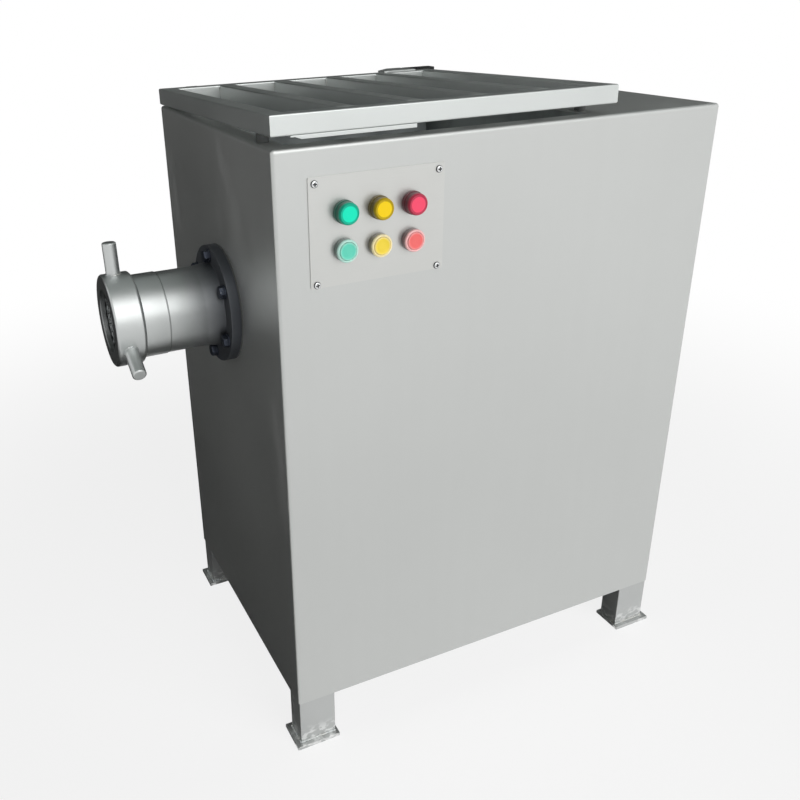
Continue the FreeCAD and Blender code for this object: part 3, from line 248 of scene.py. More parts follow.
class Finish(Board):
    """The nodes of one material, which read the piece's own coordinates in metres."""

    def __init__(self, name):
        self.material = bpy.data.materials.new(name + "_finish")
        self.material.use_nodes = True
        super().__init__(self.material.node_tree)
        self.tree.nodes.clear()
        self.place = self.node("ShaderNodeTexCoord", output="Object")
        self.heights = []

    def spots(self, scale, detail=2.0, roughness=0.5):
        """Return noise; scale is the number of spots per metre along X, Y and Z."""
        if isinstance(scale, (int, float)):
            scale = (scale, scale, scale)
        place = self.vector("MULTIPLY", self.place, scale)
        return self.node("ShaderNodeTexNoise", {}, {"Vector": place, "Scale": 1.0,
                                                    "Detail": detail, "Roughness": roughness})

    def along(self, axis):
        """Return the place along one axis."""
        return self.separate(self.place)["XYZ".index(axis)]

    def mix(self, share, first, second):
        """Return a blend of two colours."""
        return self.node("ShaderNodeMix", {"data_type": "RGBA"}, {0: share, 6: first, 7: second}, 2)

    def varied(self, noise, colour, down, up):
        """Return a colour that runs from darker to lighter with a noise."""
        return self.mix(noise, darker(colour, down), lighter(colour, up))

    def radius(self, centre, axis):
        """Return the distance from a line through a centre along one axis."""
        flat = tuple(0.0 if name == axis else 1.0 for name in "XYZ")
        offset = self.vector("SUBTRACT", self.place, tuple(centre))
        offset = self.vector("MULTIPLY", offset, flat)
        return self.node("ShaderNodeVectorMath", {"operation": "LENGTH"}, {0: offset}, "Value")

    def raise_surface(self, height, distance):
        """Add one layer of relief, as high as the distance."""
        self.heights.append((height, distance))

    def surface(self, **sockets):
        """Close the material with a Principled shader and return the material."""
        values = {name.replace("_", " "): value for name, value in sockets.items()}
        for height, distance in self.heights:
            links = {"Height": height, "Distance": distance, "Strength": 1.0}
            if "Normal" in values:
                links["Normal"] = values["Normal"]
            values["Normal"] = self.node("ShaderNodeBump", {}, links)
        shader = self.node("ShaderNodeBsdfPrincipled", {}, values)
        self.node("ShaderNodeOutputMaterial", {}, {"Surface": shader})
        return self.material


def hopper_steel(slot):
    """Pickled steel of the hopper, duller than the skin, with grease runs and painted shade that
    darkens its rear wall.
    """
    skin = Finish(slot)
    clouds = skin.spots((9.0, 9.0, 4.0), detail=4.0, roughness=0.6)
    runs = skin.between(skin.spots((38.0, 38.0, 2.2), detail=3.0), 0.5, 0.7)
    tone = skin.mix(clouds, tint("#8B9090"), tint("#A4A8A7"))
    tone = skin.mix(runs * 0.4, tone, tint("#777B79"))
    # painted shade: the hopper's rear wall darkens towards #4C5051
    wall = high("hopper").y
    rear = skin.between(skin.along("Y"), wall - 130 * MM, wall - 50 * MM)
    tone = skin.mix(rear * 0.6, tone, tint("#4C5051"))
    skin.raise_surface(skin.spots(700.0), 15 * MICRON)
    return skin.surface(Base_Color=tone, Metallic=0.85, Roughness=0.44 - runs * 0.12)


def sheet_steel(slot):
    """Bead-blasted stainless sheet: fine speckle, slow clouds, a little oil-canning and smears."""
    steel = bpy.context.scene.grinder_steel
    skin = Finish(slot)
    clouds = skin.spots(3.2, detail=3.0)
    rolling = skin.spots((46.0, 46.0, 1.1))
    speckle = skin.spots(1500.0, detail=1.0)
    smears = skin.between(skin.spots((7.0, 7.0, 3.5), detail=4.0, roughness=0.62), 0.56, 0.7)
    colour = setting("steel", "sheet_colour")
    tone = skin.varied(clouds, colour, 0.05, 0.05)
    tone = skin.mix(rolling * 0.35, tone, darker(colour, 0.06))
    skin.raise_surface(skin.spots(2.1, detail=1.0), steel.sheet_wave)
    skin.raise_surface(speckle, 10 * MICRON)
    roughness = steel.sheet_roughness + (speckle - 0.5) * 0.1
    roughness = roughness + smears * 0.05 + (clouds - 0.5) * 0.08
    return skin.surface(Base_Color=tone, Metallic=steel.sheet_metal, Roughness=roughness)


def tube_steel(slot):
    """Satin stainless tube, ground along its length."""
    skin = Finish(slot)
    grain = skin.spots(900.0)
    clouds = skin.spots(6.0, detail=3.0)
    tone = skin.varied(clouds, setting("steel", "tube_colour"), 0.08, 0.06)
    skin.raise_surface(grain, 12 * MICRON)
    return skin.surface(Base_Color=tone, Metallic=bpy.context.scene.grinder_steel.sheet_metal,
                        Roughness=0.38 + (grain - 0.5) * 0.16 + (clouds - 0.5) * 0.1)


def turned_steel(slot):
    """Lathe-turned stainless: fine rings; towards the flange a heat and oil tint that is partly
    painted shade and painted reflection; painted shade in the mouth of the bore and on the ring
    nut's front face.
    """
    steel = bpy.context.scene.grinder_steel
    skin = Finish(slot)
    rings = skin.spots((2600.0, 5.0, 5.0), roughness=0.7)
    clouds = skin.spots(14.0, detail=4.0)
    x = skin.along("X")
    out = skin.radius(HEAD_AXIS, "X")
    face, nose = low("left_end_panel").x, low("ring_nut").x
    outside = skin.between(out, 48.3 * MM, 49.5 * MM)
    # towards the flange: partly a real heat and oil tint, partly painted shade and painted
    # reflection of the dark end panel; it also dulls the metal
    heat_tint_and_shade = skin.between(x + (clouds - 0.5) * 0.02, face - 105 * MM, face - 4 * MM) * outside
    # the colour grows 12% darker from the back of the ring nut towards the flange
    nose_side = skin.between(x, low("barrel_washers").x - 80 * MM, high("ring_nut").x - 2 * MM)
    colour = setting("steel", "turned_colour")
    colour = skin.mix(nose_side, darker(colour, 0.12), colour)
    tone = skin.mix(clouds * 0.2, colour, tint("#8E9291"))
    tone = skin.mix(heat_tint_and_shade * 0.93, tone, setting("steel", "flange_colour"))
    # painted shade: the mouth of the bore and the ring nut's front face darken towards #2A2D2E
    mouth = skin.between(out, 47.5 * MM, 46.5 * MM)
    mouth = mouth * skin.between(x, nose + 12 * MM, nose + 10 * MM)
    front = skin.between(x, nose + 1.2 * MM, nose + 0.2 * MM)
    tone = skin.mix(skin.math("MAXIMUM", mouth, front) * 0.6, tone, tint("#2A2D2E"))
    skin.raise_surface(rings, 20 * MICRON)
    roughness = steel.turned_roughness + (rings - 0.5) * 0.14 + heat_tint_and_shade * 0.12
    return skin.surface(Base_Color=tone, Metallic=1.0 - heat_tint_and_shade * 0.35, Roughness=roughness)


def plate_steel(slot):
    """Control plate: pale brushed sheet, the brushing along its length."""
    steel = bpy.context.scene.grinder_steel
    skin = Finish(slot)
    brushing = skin.spots((12.0, 40.0, 2200.0), roughness=0.6)
    colour = setting("steel", "plate_colour")
    tone = skin.varied(skin.spots(11.0, detail=3.0), colour, 0.05, 0.04)
    tone = skin.mix(brushing * 0.25, tone, darker(colour, 0.14))
    skin.raise_surface(brushing, 6 * MICRON)
    roughness = steel.sheet_roughness - 0.06 + (brushing - 0.5) * 0.14
    return skin.surface(Base_Color=tone, Metallic=steel.sheet_metal, Roughness=roughness)


def bright_screw(slot):
    """Polished screw heads with random dirt spots, and painted shade in the cross recesses and
    round the rims.
    """
    skin = Finish(slot)
    y = skin.along("Y")
    depth = skin.math("MINIMUM", y - low("control_plate_screws").y,
                      high("rear_panel_screws").y - y)
    dirt = skin.between(skin.spots(900.0, detail=3.0), 0.6, 0.75)
    # painted shade: the deeper parts of each head, the cross recess and the lower rim, darken
    # towards #1C1D1F
    deep = skin.between(depth, 0.4 * MM, 1.2 * MM)
    tone = skin.mix(dirt, tint("#E4E6E6"), tint("#9C9C98"))
    tone = skin.mix(deep * 0.95, tone, tint("#1C1D1F"))
    return skin.surface(Base_Color=tone, Metallic=1.0, Roughness=0.16 + dirt * 0.25 + deep * 0.2)


def frame_steel(slot):
    """Mill-finish stainless tube of the legs, the feet and the base, scuffed at the floor."""
    skin = Finish(slot)
    clouds = skin.spots(14.0, detail=4.0)
    grain = skin.spots(700.0)
    tone = skin.mix(clouds, tint("#B7B9B8"), tint("#C4C6C5"))
    low_down = skin.between(skin.along("Z"), 40 * MM, 16 * MM)
    scuffs = skin.between(skin.spots((70.0, 70.0, 110.0), detail=3.0), 0.46, 0.6) * low_down
    tone = skin.mix(scuffs * 0.75, tone, tint("#F0F1F0"))
    skin.raise_surface(grain, 20 * MICRON)
    return skin.surface(Base_Color=tone, Metallic=0.65, Roughness=0.42 + (grain - 0.5) * 0.16)


def paint(slot, code):
    """Sprayed machine enamel: orange peel, dust on the upper sides and small chips."""
    skin = Finish(slot)
    peel = skin.spots(330.0, detail=1.0)
    chips = skin.between(skin.spots(85.0, detail=5.0, roughness=0.68), 0.71, 0.73)
    up = skin.separate(skin.node("ShaderNodeNewGeometry", output="Normal"))[2]
    dust = skin.between(up + (skin.spots(24.0, detail=4.0) - 0.5) * 0.6, 0.45, 1.1) * 0.4
    tone = skin.mix(dust, tint(code), tint("#A9A596"))
    tone = skin.mix(chips, tone, tint("#6A6B69"))
    skin.raise_surface(peel, 50 * MICRON)
    skin.raise_surface(1.0 - chips, 60 * MICRON)
    return skin.surface(Base_Color=tone, Metallic=chips * 0.7, Roughness=0.4 + dust * 0.5)


def cast_iron(slot):
    """Machined cast iron of the sheaves, darker in its pores."""
    skin = Finish(slot)
    pores = skin.between(skin.spots(420.0, detail=4.0, roughness=0.6), 0.58, 0.68)
    tone = skin.mix(skin.spots(20.0, detail=3.0), tint("#5B5C5C"), tint("#777877"))
    tone = skin.mix(pores, tone, tint("#353535"))
    skin.raise_surface(1.0 - pores, 50 * MICRON)
    return skin.surface(Base_Color=tone, Metallic=0.75, Roughness=0.45 + pores * 0.25)


def two_toned(slot, tones, patches, relief, depth, roughness, step=None, by_patches=0.0,
              by_relief=0.0, **constants):
    """Patches of two tones over an even relief, either of which can change the roughness."""
    skin = Finish(slot)
    spread, grain = skin.spots(*patches), skin.spots(*relief)
    if step:
        spread = skin.between(spread, *step)
    skin.raise_surface(grain, depth * MICRON)
    roughness = roughness + spread * by_patches + (grain - 0.5) * by_relief
    return skin.surface(Base_Color=skin.mix(spread, tint(tones[0]), tint(tones[1])),
                        Roughness=roughness, **constants)


# Each row: the dark and light tone, the noise of the patches, the noise of the relief and its
# depth in microns, the roughness and what changes it.
TWO_TONED = {
    # Blackened bolts and washers, rubbed bright in spots
    "flange_steel": dict(tones=("#3A3F4A", "#8C9094"), patches=(260.0, 4.0, 0.65),
                         step=(0.58, 0.72), relief=(1200.0,), depth=20, roughness=0.42,
                         by_patches=-0.12, Metallic=0.8),
    # Ground tool steel of the knife and the perforated plate, with marks across the face
    "knife_steel": dict(tones=("#7E8384", "#A2A5A4"), patches=(30.0, 3.0),
                        relief=((40.0, 1500.0, 60.0), 2.0, 0.7), depth=20, roughness=0.28,
                        by_relief=0.16, Metallic=1.0),
    # Cut gears and shafts under a film of oil
    "gear_steel": dict(tones=("#7C7A72", "#A5A49E"), patches=(50.0, 4.0),
                       relief=((1800.0, 20.0, 20.0),), depth=10, roughness=0.2,
                       by_patches=0.2, Metallic=1.0),
    # Bright weld metal with faint straw and blue heat colour
    "weld": dict(tones=("#C9C7BE", "#A9B2B8"), patches=(60.0,), relief=(700.0,), depth=60,
                 roughness=0.375, by_relief=0.15, Metallic=0.9),
    # Matt black rubber with dusty high spots
    "rubber_black": dict(tones=("#4A4C4B", "#616362"), patches=(160.0, 4.0), relief=(1300.0,),
                         depth=30, roughness=0.6, by_patches=0.25),
}


def black_plastic(slot):
    """Black glass-filled plastic of the switches, with a spark-eroded grain."""
    skin = Finish(slot)
    grain = skin.spots(2200.0, detail=1.0)
    tone = skin.varied(skin.spots(40.0), tint("#1B1C1D"), 0.06, 0.04)
    skin.raise_surface(grain, 15 * MICRON)
    return skin.surface(Base_Color=tone, Roughness=0.62 + (grain - 0.5) * 0.1,
                        Specular_IOR_Level=0.05)


def lens_finish(slot):
    """Clear coloured lamp lens: a side painted dark as shade, a rim, a bright flat middle and fine
    prism rings.
    """
    lens = "lamp_lens_" + slot.split("_")[0]
    glow = setting("controls", slot)
    skin = Finish(slot)
    out = skin.radius(middle(lens), "Y")
    front = skin.between(skin.along("Y"), high(lens).y - 10.5 * MM, low(lens).y + 1.5 * MM)
    heart = skin.between(out, 10.6 * MM, 9.2 * MM) * front
    rings = skin.math("SINE", out * (FULL_TURN / (1.1 * MM)))
    # painted shade: the side of the lens is far darker than its front
    tone = skin.mix(front, darker(glow, 0.86), darker(glow, 0.42))
    tone = skin.mix(heart, tone, glow)
    skin.raise_surface(rings * front, 12 * MICRON)
    lit = skin.mix(heart, darker(glow, 0.96), darker(glow, 0.45))
    return skin.surface(Base_Color=tone, Roughness=0.34, Specular_IOR_Level=0.3,
                        Emission_Color=lit, Emission_Strength=0.22)


def cap_finish(slot):
    """Milky button cap, paler towards its edge."""
    milk = setting("controls", slot)
    skin = Finish(slot)
    out = skin.radius(middle("button_cap_" + slot.split("_")[0]), "Y")
    clouds = skin.spots(120.0, detail=3.0)
    tone = skin.varied(clouds, milk, 0.05, 0.05)
    tone = skin.mix(skin.between(out, 8.5 * MM, 11.2 * MM) * 0.5, tone, lighter(milk, 0.45))
    skin.raise_surface(skin.spots(1600.0), 10 * MICRON)
    return skin.surface(Base_Color=tone, Roughness=0.34 + clouds * 0.08, Coat_Weight=0.25)


def bezel_finish(colour):
    """Pale see-through bezel that takes up the colour of its cap, with painted shade darkening its
    side and, most, its foot at the panel.
    """
    milk = setting("controls", colour + "_cap")
    # dark tone of the cap's colour, used as painted shade on the side
    side_shade_tone = tuple(0.16 * c + 0.05 for c in milk[:3]) + (1.0,)
    skin = Finish("bezel_" + colour)
    depth = skin.along("Y")
    box_low, box_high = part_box("button_bezels")
    side = skin.between(depth, box_low.y + 0.8 * MM, box_low.y + 4.5 * MM)
    foot = skin.between(depth, box_low.y + 4 * MM, box_high.y)
    grain = skin.spots(1800.0, detail=1.0)
    # painted shade: the side turns dark and its foot at the panel darker still
    tone = skin.mix(side, lighter(milk, 0.48), side_shade_tone)
    tone = skin.mix(foot * 0.6, tone, darker(side_shade_tone, 0.7))
    skin.raise_surface(grain, 10 * MICRON)
    return skin.surface(Base_Color=tone, Roughness=0.24 + grain * 0.08, Coat_Weight=0.3)


FINISHES = {
    "cabinet_steel": sheet_steel,
    "hopper_steel": hopper_steel,
    "tube_steel": tube_steel,
    "turned_steel": turned_steel,
    "plate_steel": plate_steel,
    "bright_screw": bright_screw,
    "black_plastic": black_plastic,
    "gearbox_paint": lambda slot: paint(slot, "#5D6E69"),
    "motor_paint": lambda slot: paint(slot, "#4A6078"),
    "cast_iron": cast_iron,
    "frame_steel": frame_steel,
}
FINISHES.update({colour + "_lens": lens_finish for colour in COLOURS})
FINISHES.update({colour + "_cap": cap_finish for colour in COLOURS})
MADE_FINISHES = {}


def finish(slot):
    """Return the material of a slot, made when it is first asked for."""
    if slot not in MADE_FINISHES:
        made = two_toned(slot, **TWO_TONED[slot]) if slot in TWO_TONED else FINISHES[slot](slot)
        MADE_FINISHES[slot] = made
    return MADE_FINISHES[slot]


# Mesh building

def eased(outline, radius, steps=3):
    """Round the corners of a closed outline of (along, out) pairs; those on the axis stay."""
    corners = [Vector(pair) for pair in outline]
    made = []
    for i, corner in enumerate(corners):
        back = corners[i - 1] - corner
        on = corners[(i + 1) % len(corners)] - corner
        reach = min(radius, 0.45 * back.length, 0.45 * on.length)
        if corner.y <= 0:
            made.append(corner)
            continue
        start = corner + back.normalized() * reach
        end = corner + on.normalized() * reach
        for k in range(steps + 1):
            share = k / steps
            made.append(start.lerp(corner, share).lerp(corner.lerp(end, share), share))
    return made


def spun(outline, steps=96):
    """Return a bmesh turned from a closed outline of (along, out) pairs about the X axis."""
    form = bmesh.new()
    rings = []
    for along, out in outline:
        count = steps if out > 0 else 1
        turns = [FULL_TURN * k / steps for k in range(count)]
        rings.append([form.verts.new((along, out * math.cos(a), out * math.sin(a)))
                      for a in turns])
    for first, second in zip(rings, rings[1:] + rings[:1]):
        if len(first) == len(second) == 1:
            continue
        for k in range(steps):
            after = (k + 1) % steps
            loop = [first[k % len(first)], first[after % len(first)],
                    second[after % len(second)], second[k % len(second)]]
            form.faces.new(list(dict.fromkeys(loop)))
    bmesh.ops.recalc_face_normals(form, faces=form.faces)
    return form


def laid(axis, direction, origin):
    """Return the matrix that turns an axis to a direction and moves it to an origin."""
    turn = axis.rotation_difference(Vector(direction))
    return Matrix.Translation(origin) @ turn.to_matrix().to_4x4()


def flat_corners(x0, y0, x1, y1, z):
    """Return the corners of a level rectangle."""
    return [(x0, y0, z), (x1, y0, z), (x1, y1, z), (x0, y1, z)]


def closed_loop(first, count):
    """Return the edges of a closed loop of points, counted from the first."""
    return [(first + k, first + (k + 1) % count) for k in range(count)]


def new_object(name, mesh, material=None):
    """Link a mesh to the scene as an object at the origin."""
    made = bpy.data.objects.new(name, mesh)
    bpy.context.scene.collection.objects.link(made)
    if material is not None:
        mesh.materials.clear()
        mesh.materials.append(material)
    return made


def from_form(name, form, material, place=None):
    """Turn a bmesh into an object, with its place applied to the mesh."""
    mesh = bpy.data.meshes.new(name)
    if place is not None:
        bmesh.ops.transform(form, matrix=place, verts=form.verts)
    form.to_mesh(mesh)
    form.free()
    return new_object(name, mesh, material)


def baked(made):
    """Replace an object's mesh by what its modifiers make of it, and clear them."""
    bpy.context.view_layer.update()
    depsgraph = bpy.context.evaluated_depsgraph_get()
    mesh = bpy.data.meshes.new_from_object(made.evaluated_get(depsgraph), depsgraph=depsgraph,
                                           preserve_all_data_layers=True)
    made.modifiers.clear()
    made.data = mesh
    return made


def smooth(made, sharp_angle=35.0):
    """Shade a mesh smooth apart from its sharp edges."""
    mesh = made.data
    mesh.polygons.foreach_set("use_smooth", [True] * len(mesh.polygons))
    mesh.set_sharp_from_angle(angle=math.radians(sharp_angle))


def settled(made, bevel=0.0, segments=2, sharp_angle=35.0):
    """Round a piece's sharp edges, even out its shading and leave it a plain mesh."""
    if bevel > 0:
        rounding = made.modifiers.new("rounding", "BEVEL")
        rounding.width = bevel
        rounding.segments = segments
        rounding.limit_method = "ANGLE"
        rounding.angle_limit = math.radians(sharp_angle)
        baked(made)
    smooth(made, sharp_angle)
    evening = made.modifiers.new("evening", "WEIGHTED_NORMAL")
    evening.keep_sharp = True
    return baked(made)


def carved(made, cutter):
    """Cut one object out of another and remove the cutter."""
    cut = made.modifiers.new("cut", "BOOLEAN")
    cut.operation = "DIFFERENCE"
    cut.solver = "EXACT"
    cut.object = cutter
    baked(made)
    bpy.data.objects.remove(cutter)
    return made


def turned(name, outline, rounding, turns, material, place, steps=3, cutter=None):
    """Return a piece turned about the X axis from an outline with eased corners."""
    made = from_form(name, spun(eased(outline, rounding, steps), turns), material, place)
    if cutter is not None:
        carved(made, cutter)
    return settled(made)


def dress(made, *nodes, body=None, slot=None):
    """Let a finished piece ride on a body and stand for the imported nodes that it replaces."""
    first = nodes[0] if nodes else None
    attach(made, body or BODY_OF[first])
    if nodes:
        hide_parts(*nodes)
    return made


def refined(node, bevel_mm, segments=2):
    """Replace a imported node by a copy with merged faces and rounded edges."""
    form = bmesh.new()
    form.from_mesh(frame["nodes"][node].data)
    bmesh.ops.remove_doubles(form, verts=form.verts, dist=0.02 * MM)
    bmesh.ops.dissolve_limit(form, angle_limit=math.radians(0.6), verts=form.verts,
                             edges=form.edges)
    made = from_form("fine_" + node, form, finish(SLOT_OF[node]))
    settled(made, bevel_mm * MM, segments)
    return dress(made, node)


def repaint(*nodes, kind=None):
    """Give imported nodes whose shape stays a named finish, or that of their slot."""
    for node in nodes:
        for place in frame["nodes"][node].material_slots:
            place.material = finish(kind or SLOT_OF[node])


# Geometry Nodes

SOCKET_KINDS = {int: "NodeSocketInt", float: "NodeSocketFloat", tuple: "NodeSocketVector",
                type(None): "NodeSocketMaterial"}


class Grower(Board):
    """A Geometry Nodes tree with named inputs, which ends in real geometry with a material."""

    def __init__(self, name, **inputs):
        tree = bpy.data.node_groups.new(name, "GeometryNodeTree")
        super().__init__(tree)
        for way in ("INPUT", "OUTPUT"):
            tree.interface.new_socket("Geometry", in_out=way, socket_type="NodeSocketGeometry")
        for key, default in {**inputs, "Material": None}.items():
            kind = SOCKET_KINDS[type(default)]
            label = key.replace("_", " ")
            made = tree.interface.new_socket(label, in_out="INPUT", socket_type=kind)
            if default is not None:
                made.default_value = default
        self.entry = tree.nodes.new("NodeGroupInput")

    def __getitem__(self, label):
        return Wire(self, self.entry.outputs[label])

    def join(self, *parts):
        """Return several geometries as one."""
        return self.node("GeometryNodeJoinGeometry", {}, {"Geometry": list(parts)})

    def moved(self, geometry, position):
        """Return a geometry whose points have new positions."""
        return self.node("GeometryNodeSetPosition", {},
                         {"Geometry": geometry, "Position": position})

    def raised(self, geometry, height):
        """Return a geometry moved along Z."""
        return self.node("GeometryNodeTransform", {},
                         {"Geometry": geometry, "Translation": self.combine(0.0, 0.0, height)})

    def merged(self, geometry, distance=0.01 * MM):
        """Return a geometry with its touching points merged."""
        return self.node("GeometryNodeMergeByDistance", {},
                         {"Geometry": geometry, "Distance": distance})

    def copies(self, points, instance, rotation=(0.0, 0.0, 0.0)):
        """Return a copy of an instance on each point."""
        return self.node("GeometryNodeInstanceOnPoints", {},
                         {"Points": points, "Instance": instance, "Rotation": rotation})

    def real(self, geometry):
        """Return instances as geometry of their own."""
        return self.node("GeometryNodeRealizeInstances", {}, {"Geometry": geometry})

    def random(self, least, most):
        """Return a random number for each element, from the seed."""
        return self.node("FunctionNodeRandomValue", {"data_type": "FLOAT"},
                         {"Seed": self["Seed"], 2: least, 3: most}, 1)

    def faced(self):
        """Return a rotation that faces the given way, with a random turn about its own axis."""
        spin = self.combine(0.0, 0.0, self.random(0.0, FULL_TURN))
        return self.node("FunctionNodeRotateRotation", {"rotation_space": "LOCAL"},
                         {"Rotation": self["Facing"], "Rotate By": spin})

    def polar(self, out, turns, up):
        """Return a position from its distance to the Z axis, its turns and its height."""
        angle = turns * FULL_TURN
        return self.combine(out * self.math("COSINE", angle), out * self.math("SINE", angle), up)

    def row(self, count, step):
        """Return points in a row."""
        return self.node("GeometryNodeMeshLine", {"mode": "OFFSET"},
                         {"Count": count, "Offset": step})

    def circle(self, points, radius):
        """Return a round outline."""
        return self.node("GeometryNodeCurvePrimitiveCircle", {},
                         {"Resolution": points, "Radius": radius})

    def rounded(self, outline, radius, count):
        """Return an outline with rounded corners."""
        return self.node("GeometryNodeFilletCurve", {"mode": "POLY"},
                         {"Curve": outline, "Radius": radius, "Count": count,
                          "Limit Radius": True})

    def rectangle(self, width, height, corner, count):
        """Return a rectangular outline with rounded corners."""
        outline = self.node("GeometryNodeCurvePrimitiveQuadrilateral", {"mode": "RECTANGLE"},
                            {"Width": width, "Height": height})
        return self.rounded(outline, corner, count)

    def swept(self, path, section, **more):
        """Return a section drawn along a path, with closed ends."""
        return self.node("GeometryNodeCurveToMesh", {},
                         {"Curve": path, "Profile Curve": section, "Fill Caps": True, **more})

    def lattice(self, columns, rows):
        """Return a grid and its two shares, each from 0 to 1."""
        grid = self.node("GeometryNodeMeshGrid", {}, {"Size X": 1.0, "Size Y": 1.0,
                                                      "Vertices X": columns, "Vertices Y": rows})
        x, y, _ = self.separate(self.node("GeometryNodeInputPosition"))
        return grid, x + 0.5, y + 0.5

    def thick(self, outlines, thickness):
        """Fill flat outlines, holes left open, and give them a thickness along Z."""
        flat = self.node("GeometryNodeFillCurve", {"mode": "TRIANGLES"}, {"Curve": outlines})
        raised = self.node("GeometryNodeExtrudeMesh", {"mode": "FACES"},
                           {"Mesh": flat, "Offset": self.combine(0.0, 0.0, thickness),
                            "Offset Scale": 1.0, "Individual": False})
        back = self.node("GeometryNodeFlipFaces", {}, {"Mesh": flat})
        return self.merged(self.join(raised, back))

    def close(self, geometry):
        """End the tree and return it."""
        solid = self.node("GeometryNodeSetMaterial", {},
                          {"Geometry": self.real(geometry), "Material": self["Material"]})
        self.node("NodeGroupOutput", {}, {"Geometry": solid})
        return self.tree


def cross_screw_tree():
    """Pan-head screws with a cross recess, one on each point."""
    grow = Grower("cross_screws", Head_Radius=0.004, Head_Height=0.002, Facing=(0.0, 0.0, 0.0),
                  Seed=1)
    radius, height = grow["Head Radius"], grow["Head Height"]
    dome, turn, rise = grow.lattice(29, 9)
    slope = rise * QUARTER_TURN
    out = radius * grow.math("POWER", grow.math("SINE", slope), 0.75)
    fall = grow.math("MAXIMUM", grow.math("COSINE", slope), 0.0)
    up = height * grow.math("POWER", fall, 0.7)
    dome = grow.moved(dome, grow.polar(out, turn, up))
    dome = grow.node("GeometryNodeConvexHull", {}, {"Geometry": dome})
    long_side, short_side, depth = radius * 1.15, radius * 0.36, height * 1.2
    slots = []
    for width, breadth in ((long_side, short_side), (short_side, long_side)):
        bar = grow.node("GeometryNodeMeshCube", {},
                        {"Size": grow.combine(width, breadth, depth)})
        slots.append(grow.raised(bar, height * 1.05))
    head = grow.node("GeometryNodeMeshBoolean", {"operation": "DIFFERENCE", "solver": "EXACT"},
                     {"Mesh 1": dome, "Mesh 2": slots})
    return grow.close(grow.copies(grow["Geometry"], head, grow.faced()))


def hex_head_tree():
    """Hexagon bolt heads with a turned chamfer, one on each point."""
    grow = Grower("hex_heads", Across_Flats=0.017, Head_Height=0.007, Facing=(0.0, 0.0, 0.0),
                  Seed=1)
    flats, height = grow["Across Flats"], grow["Head Height"]
    across_corners = flats / math.sqrt(3)
    rings = []
    for count, radius, up in ((6, across_corners, 0.0), (6, across_corners, height * 0.78),
                              (36, flats * 0.475, height)):
        ring = grow.node("GeometryNodeMeshCircle", {}, {"Vertices": count, "Radius": radius})
        rings.append(grow.raised(ring, up))
    head = grow.node("GeometryNodeConvexHull", {}, {"Geometry": grow.join(*rings)})
    return grow.close(grow.copies(grow["Geometry"], head, grow.faced()))


def perforated_plate_tree(ring_count):
    """Round plate with rings of holes round a bush hole."""
    labels = ["Ring %d" % (i + 1) for i in range(ring_count)]
    inputs = {"Radius": 0.05, "Thickness": 0.014, "Hole_Radius": 0.005, "Bush_Radius": 0.01}
    for label in labels:
        inputs.update({label + " Radius": 0.02, label + " Holes": 8})
    grow = Grower("perforated_plate", **inputs)
    outlines = [grow.circle(128, grow["Radius"]), grow.circle(48, grow["Bush Radius"])]
    hole = grow.circle(24, grow["Hole Radius"])
    for label in labels:
        ring = grow.node("GeometryNodeMeshCircle", {}, {"Vertices": grow[label + " Holes"],
                                                        "Radius": grow[label + " Radius"]})
        outlines.append(grow.real(grow.copies(ring, hole)))
    return grow.close(grow.thick(grow.join(*outlines), grow["Thickness"]))


def punched_sheet_tree():
    """Flat sheet with rounded corners and one round hole at each point."""
    grow = Grower("punched_sheet", Width=0.2, Height=0.14, Corner=0.003, Thickness=0.0015,
                  Hole_Radius=0.011)
    sheet = grow.rectangle(grow["Width"], grow["Height"], grow["Corner"], 6)
    holes = grow.real(grow.copies(grow["Geometry"], grow.circle(40, grow["Hole Radius"])))
    return grow.close(grow.thick(grow.join(sheet, holes), grow["Thickness"]))


def tube_row_tree():
    """Evenly spaced square tubes with rounded edges, side by side along X."""
    grow = Grower("tube_row", Count=4, Pitch=0.1, Length=0.45, Width=0.025, Corner=0.0025)
    section = grow.rectangle(grow["Width"], grow["Width"], grow["Corner"], 5)
    run = grow.node("GeometryNodeCurvePrimitiveLine", {},
                    {"End": grow.combine(0.0, grow["Length"], 0.0)})
    row = grow.row(grow["Count"], grow.combine(grow["Pitch"], 0.0, 0.0))
    return grow.close(grow.copies(row, grow.swept(run, section)))


def weld_tree():
    """Rippled weld beads along the edges of a wire mesh."""
    grow = Grower("weld_beads", Radius=0.0015, Ripple=0.25, Spacing=0.0012, Seed=1)
    path = grow.node("GeometryNodeMeshToCurve", {}, {"Mesh": grow["Geometry"]})
    path = grow.node("GeometryNodeResampleCurve", {"mode": "LENGTH"},
                     {"Curve": path, "Length": grow["Spacing"]})
    ripples = grow.math("SINE", grow.node("GeometryNodeInputIndex") * 2.1)
    swell = (1.0 + grow["Ripple"] * ripples) * grow.random(0.85, 1.15)
    path = grow.node("GeometryNodeSetCurveRadius", {}, {"Curve": path, "Radius": swell})
    return grow.close(grow.swept(path, grow.circle(8, grow["Radius"]),
                                 Scale=grow.node("GeometryNodeInputRadius")))


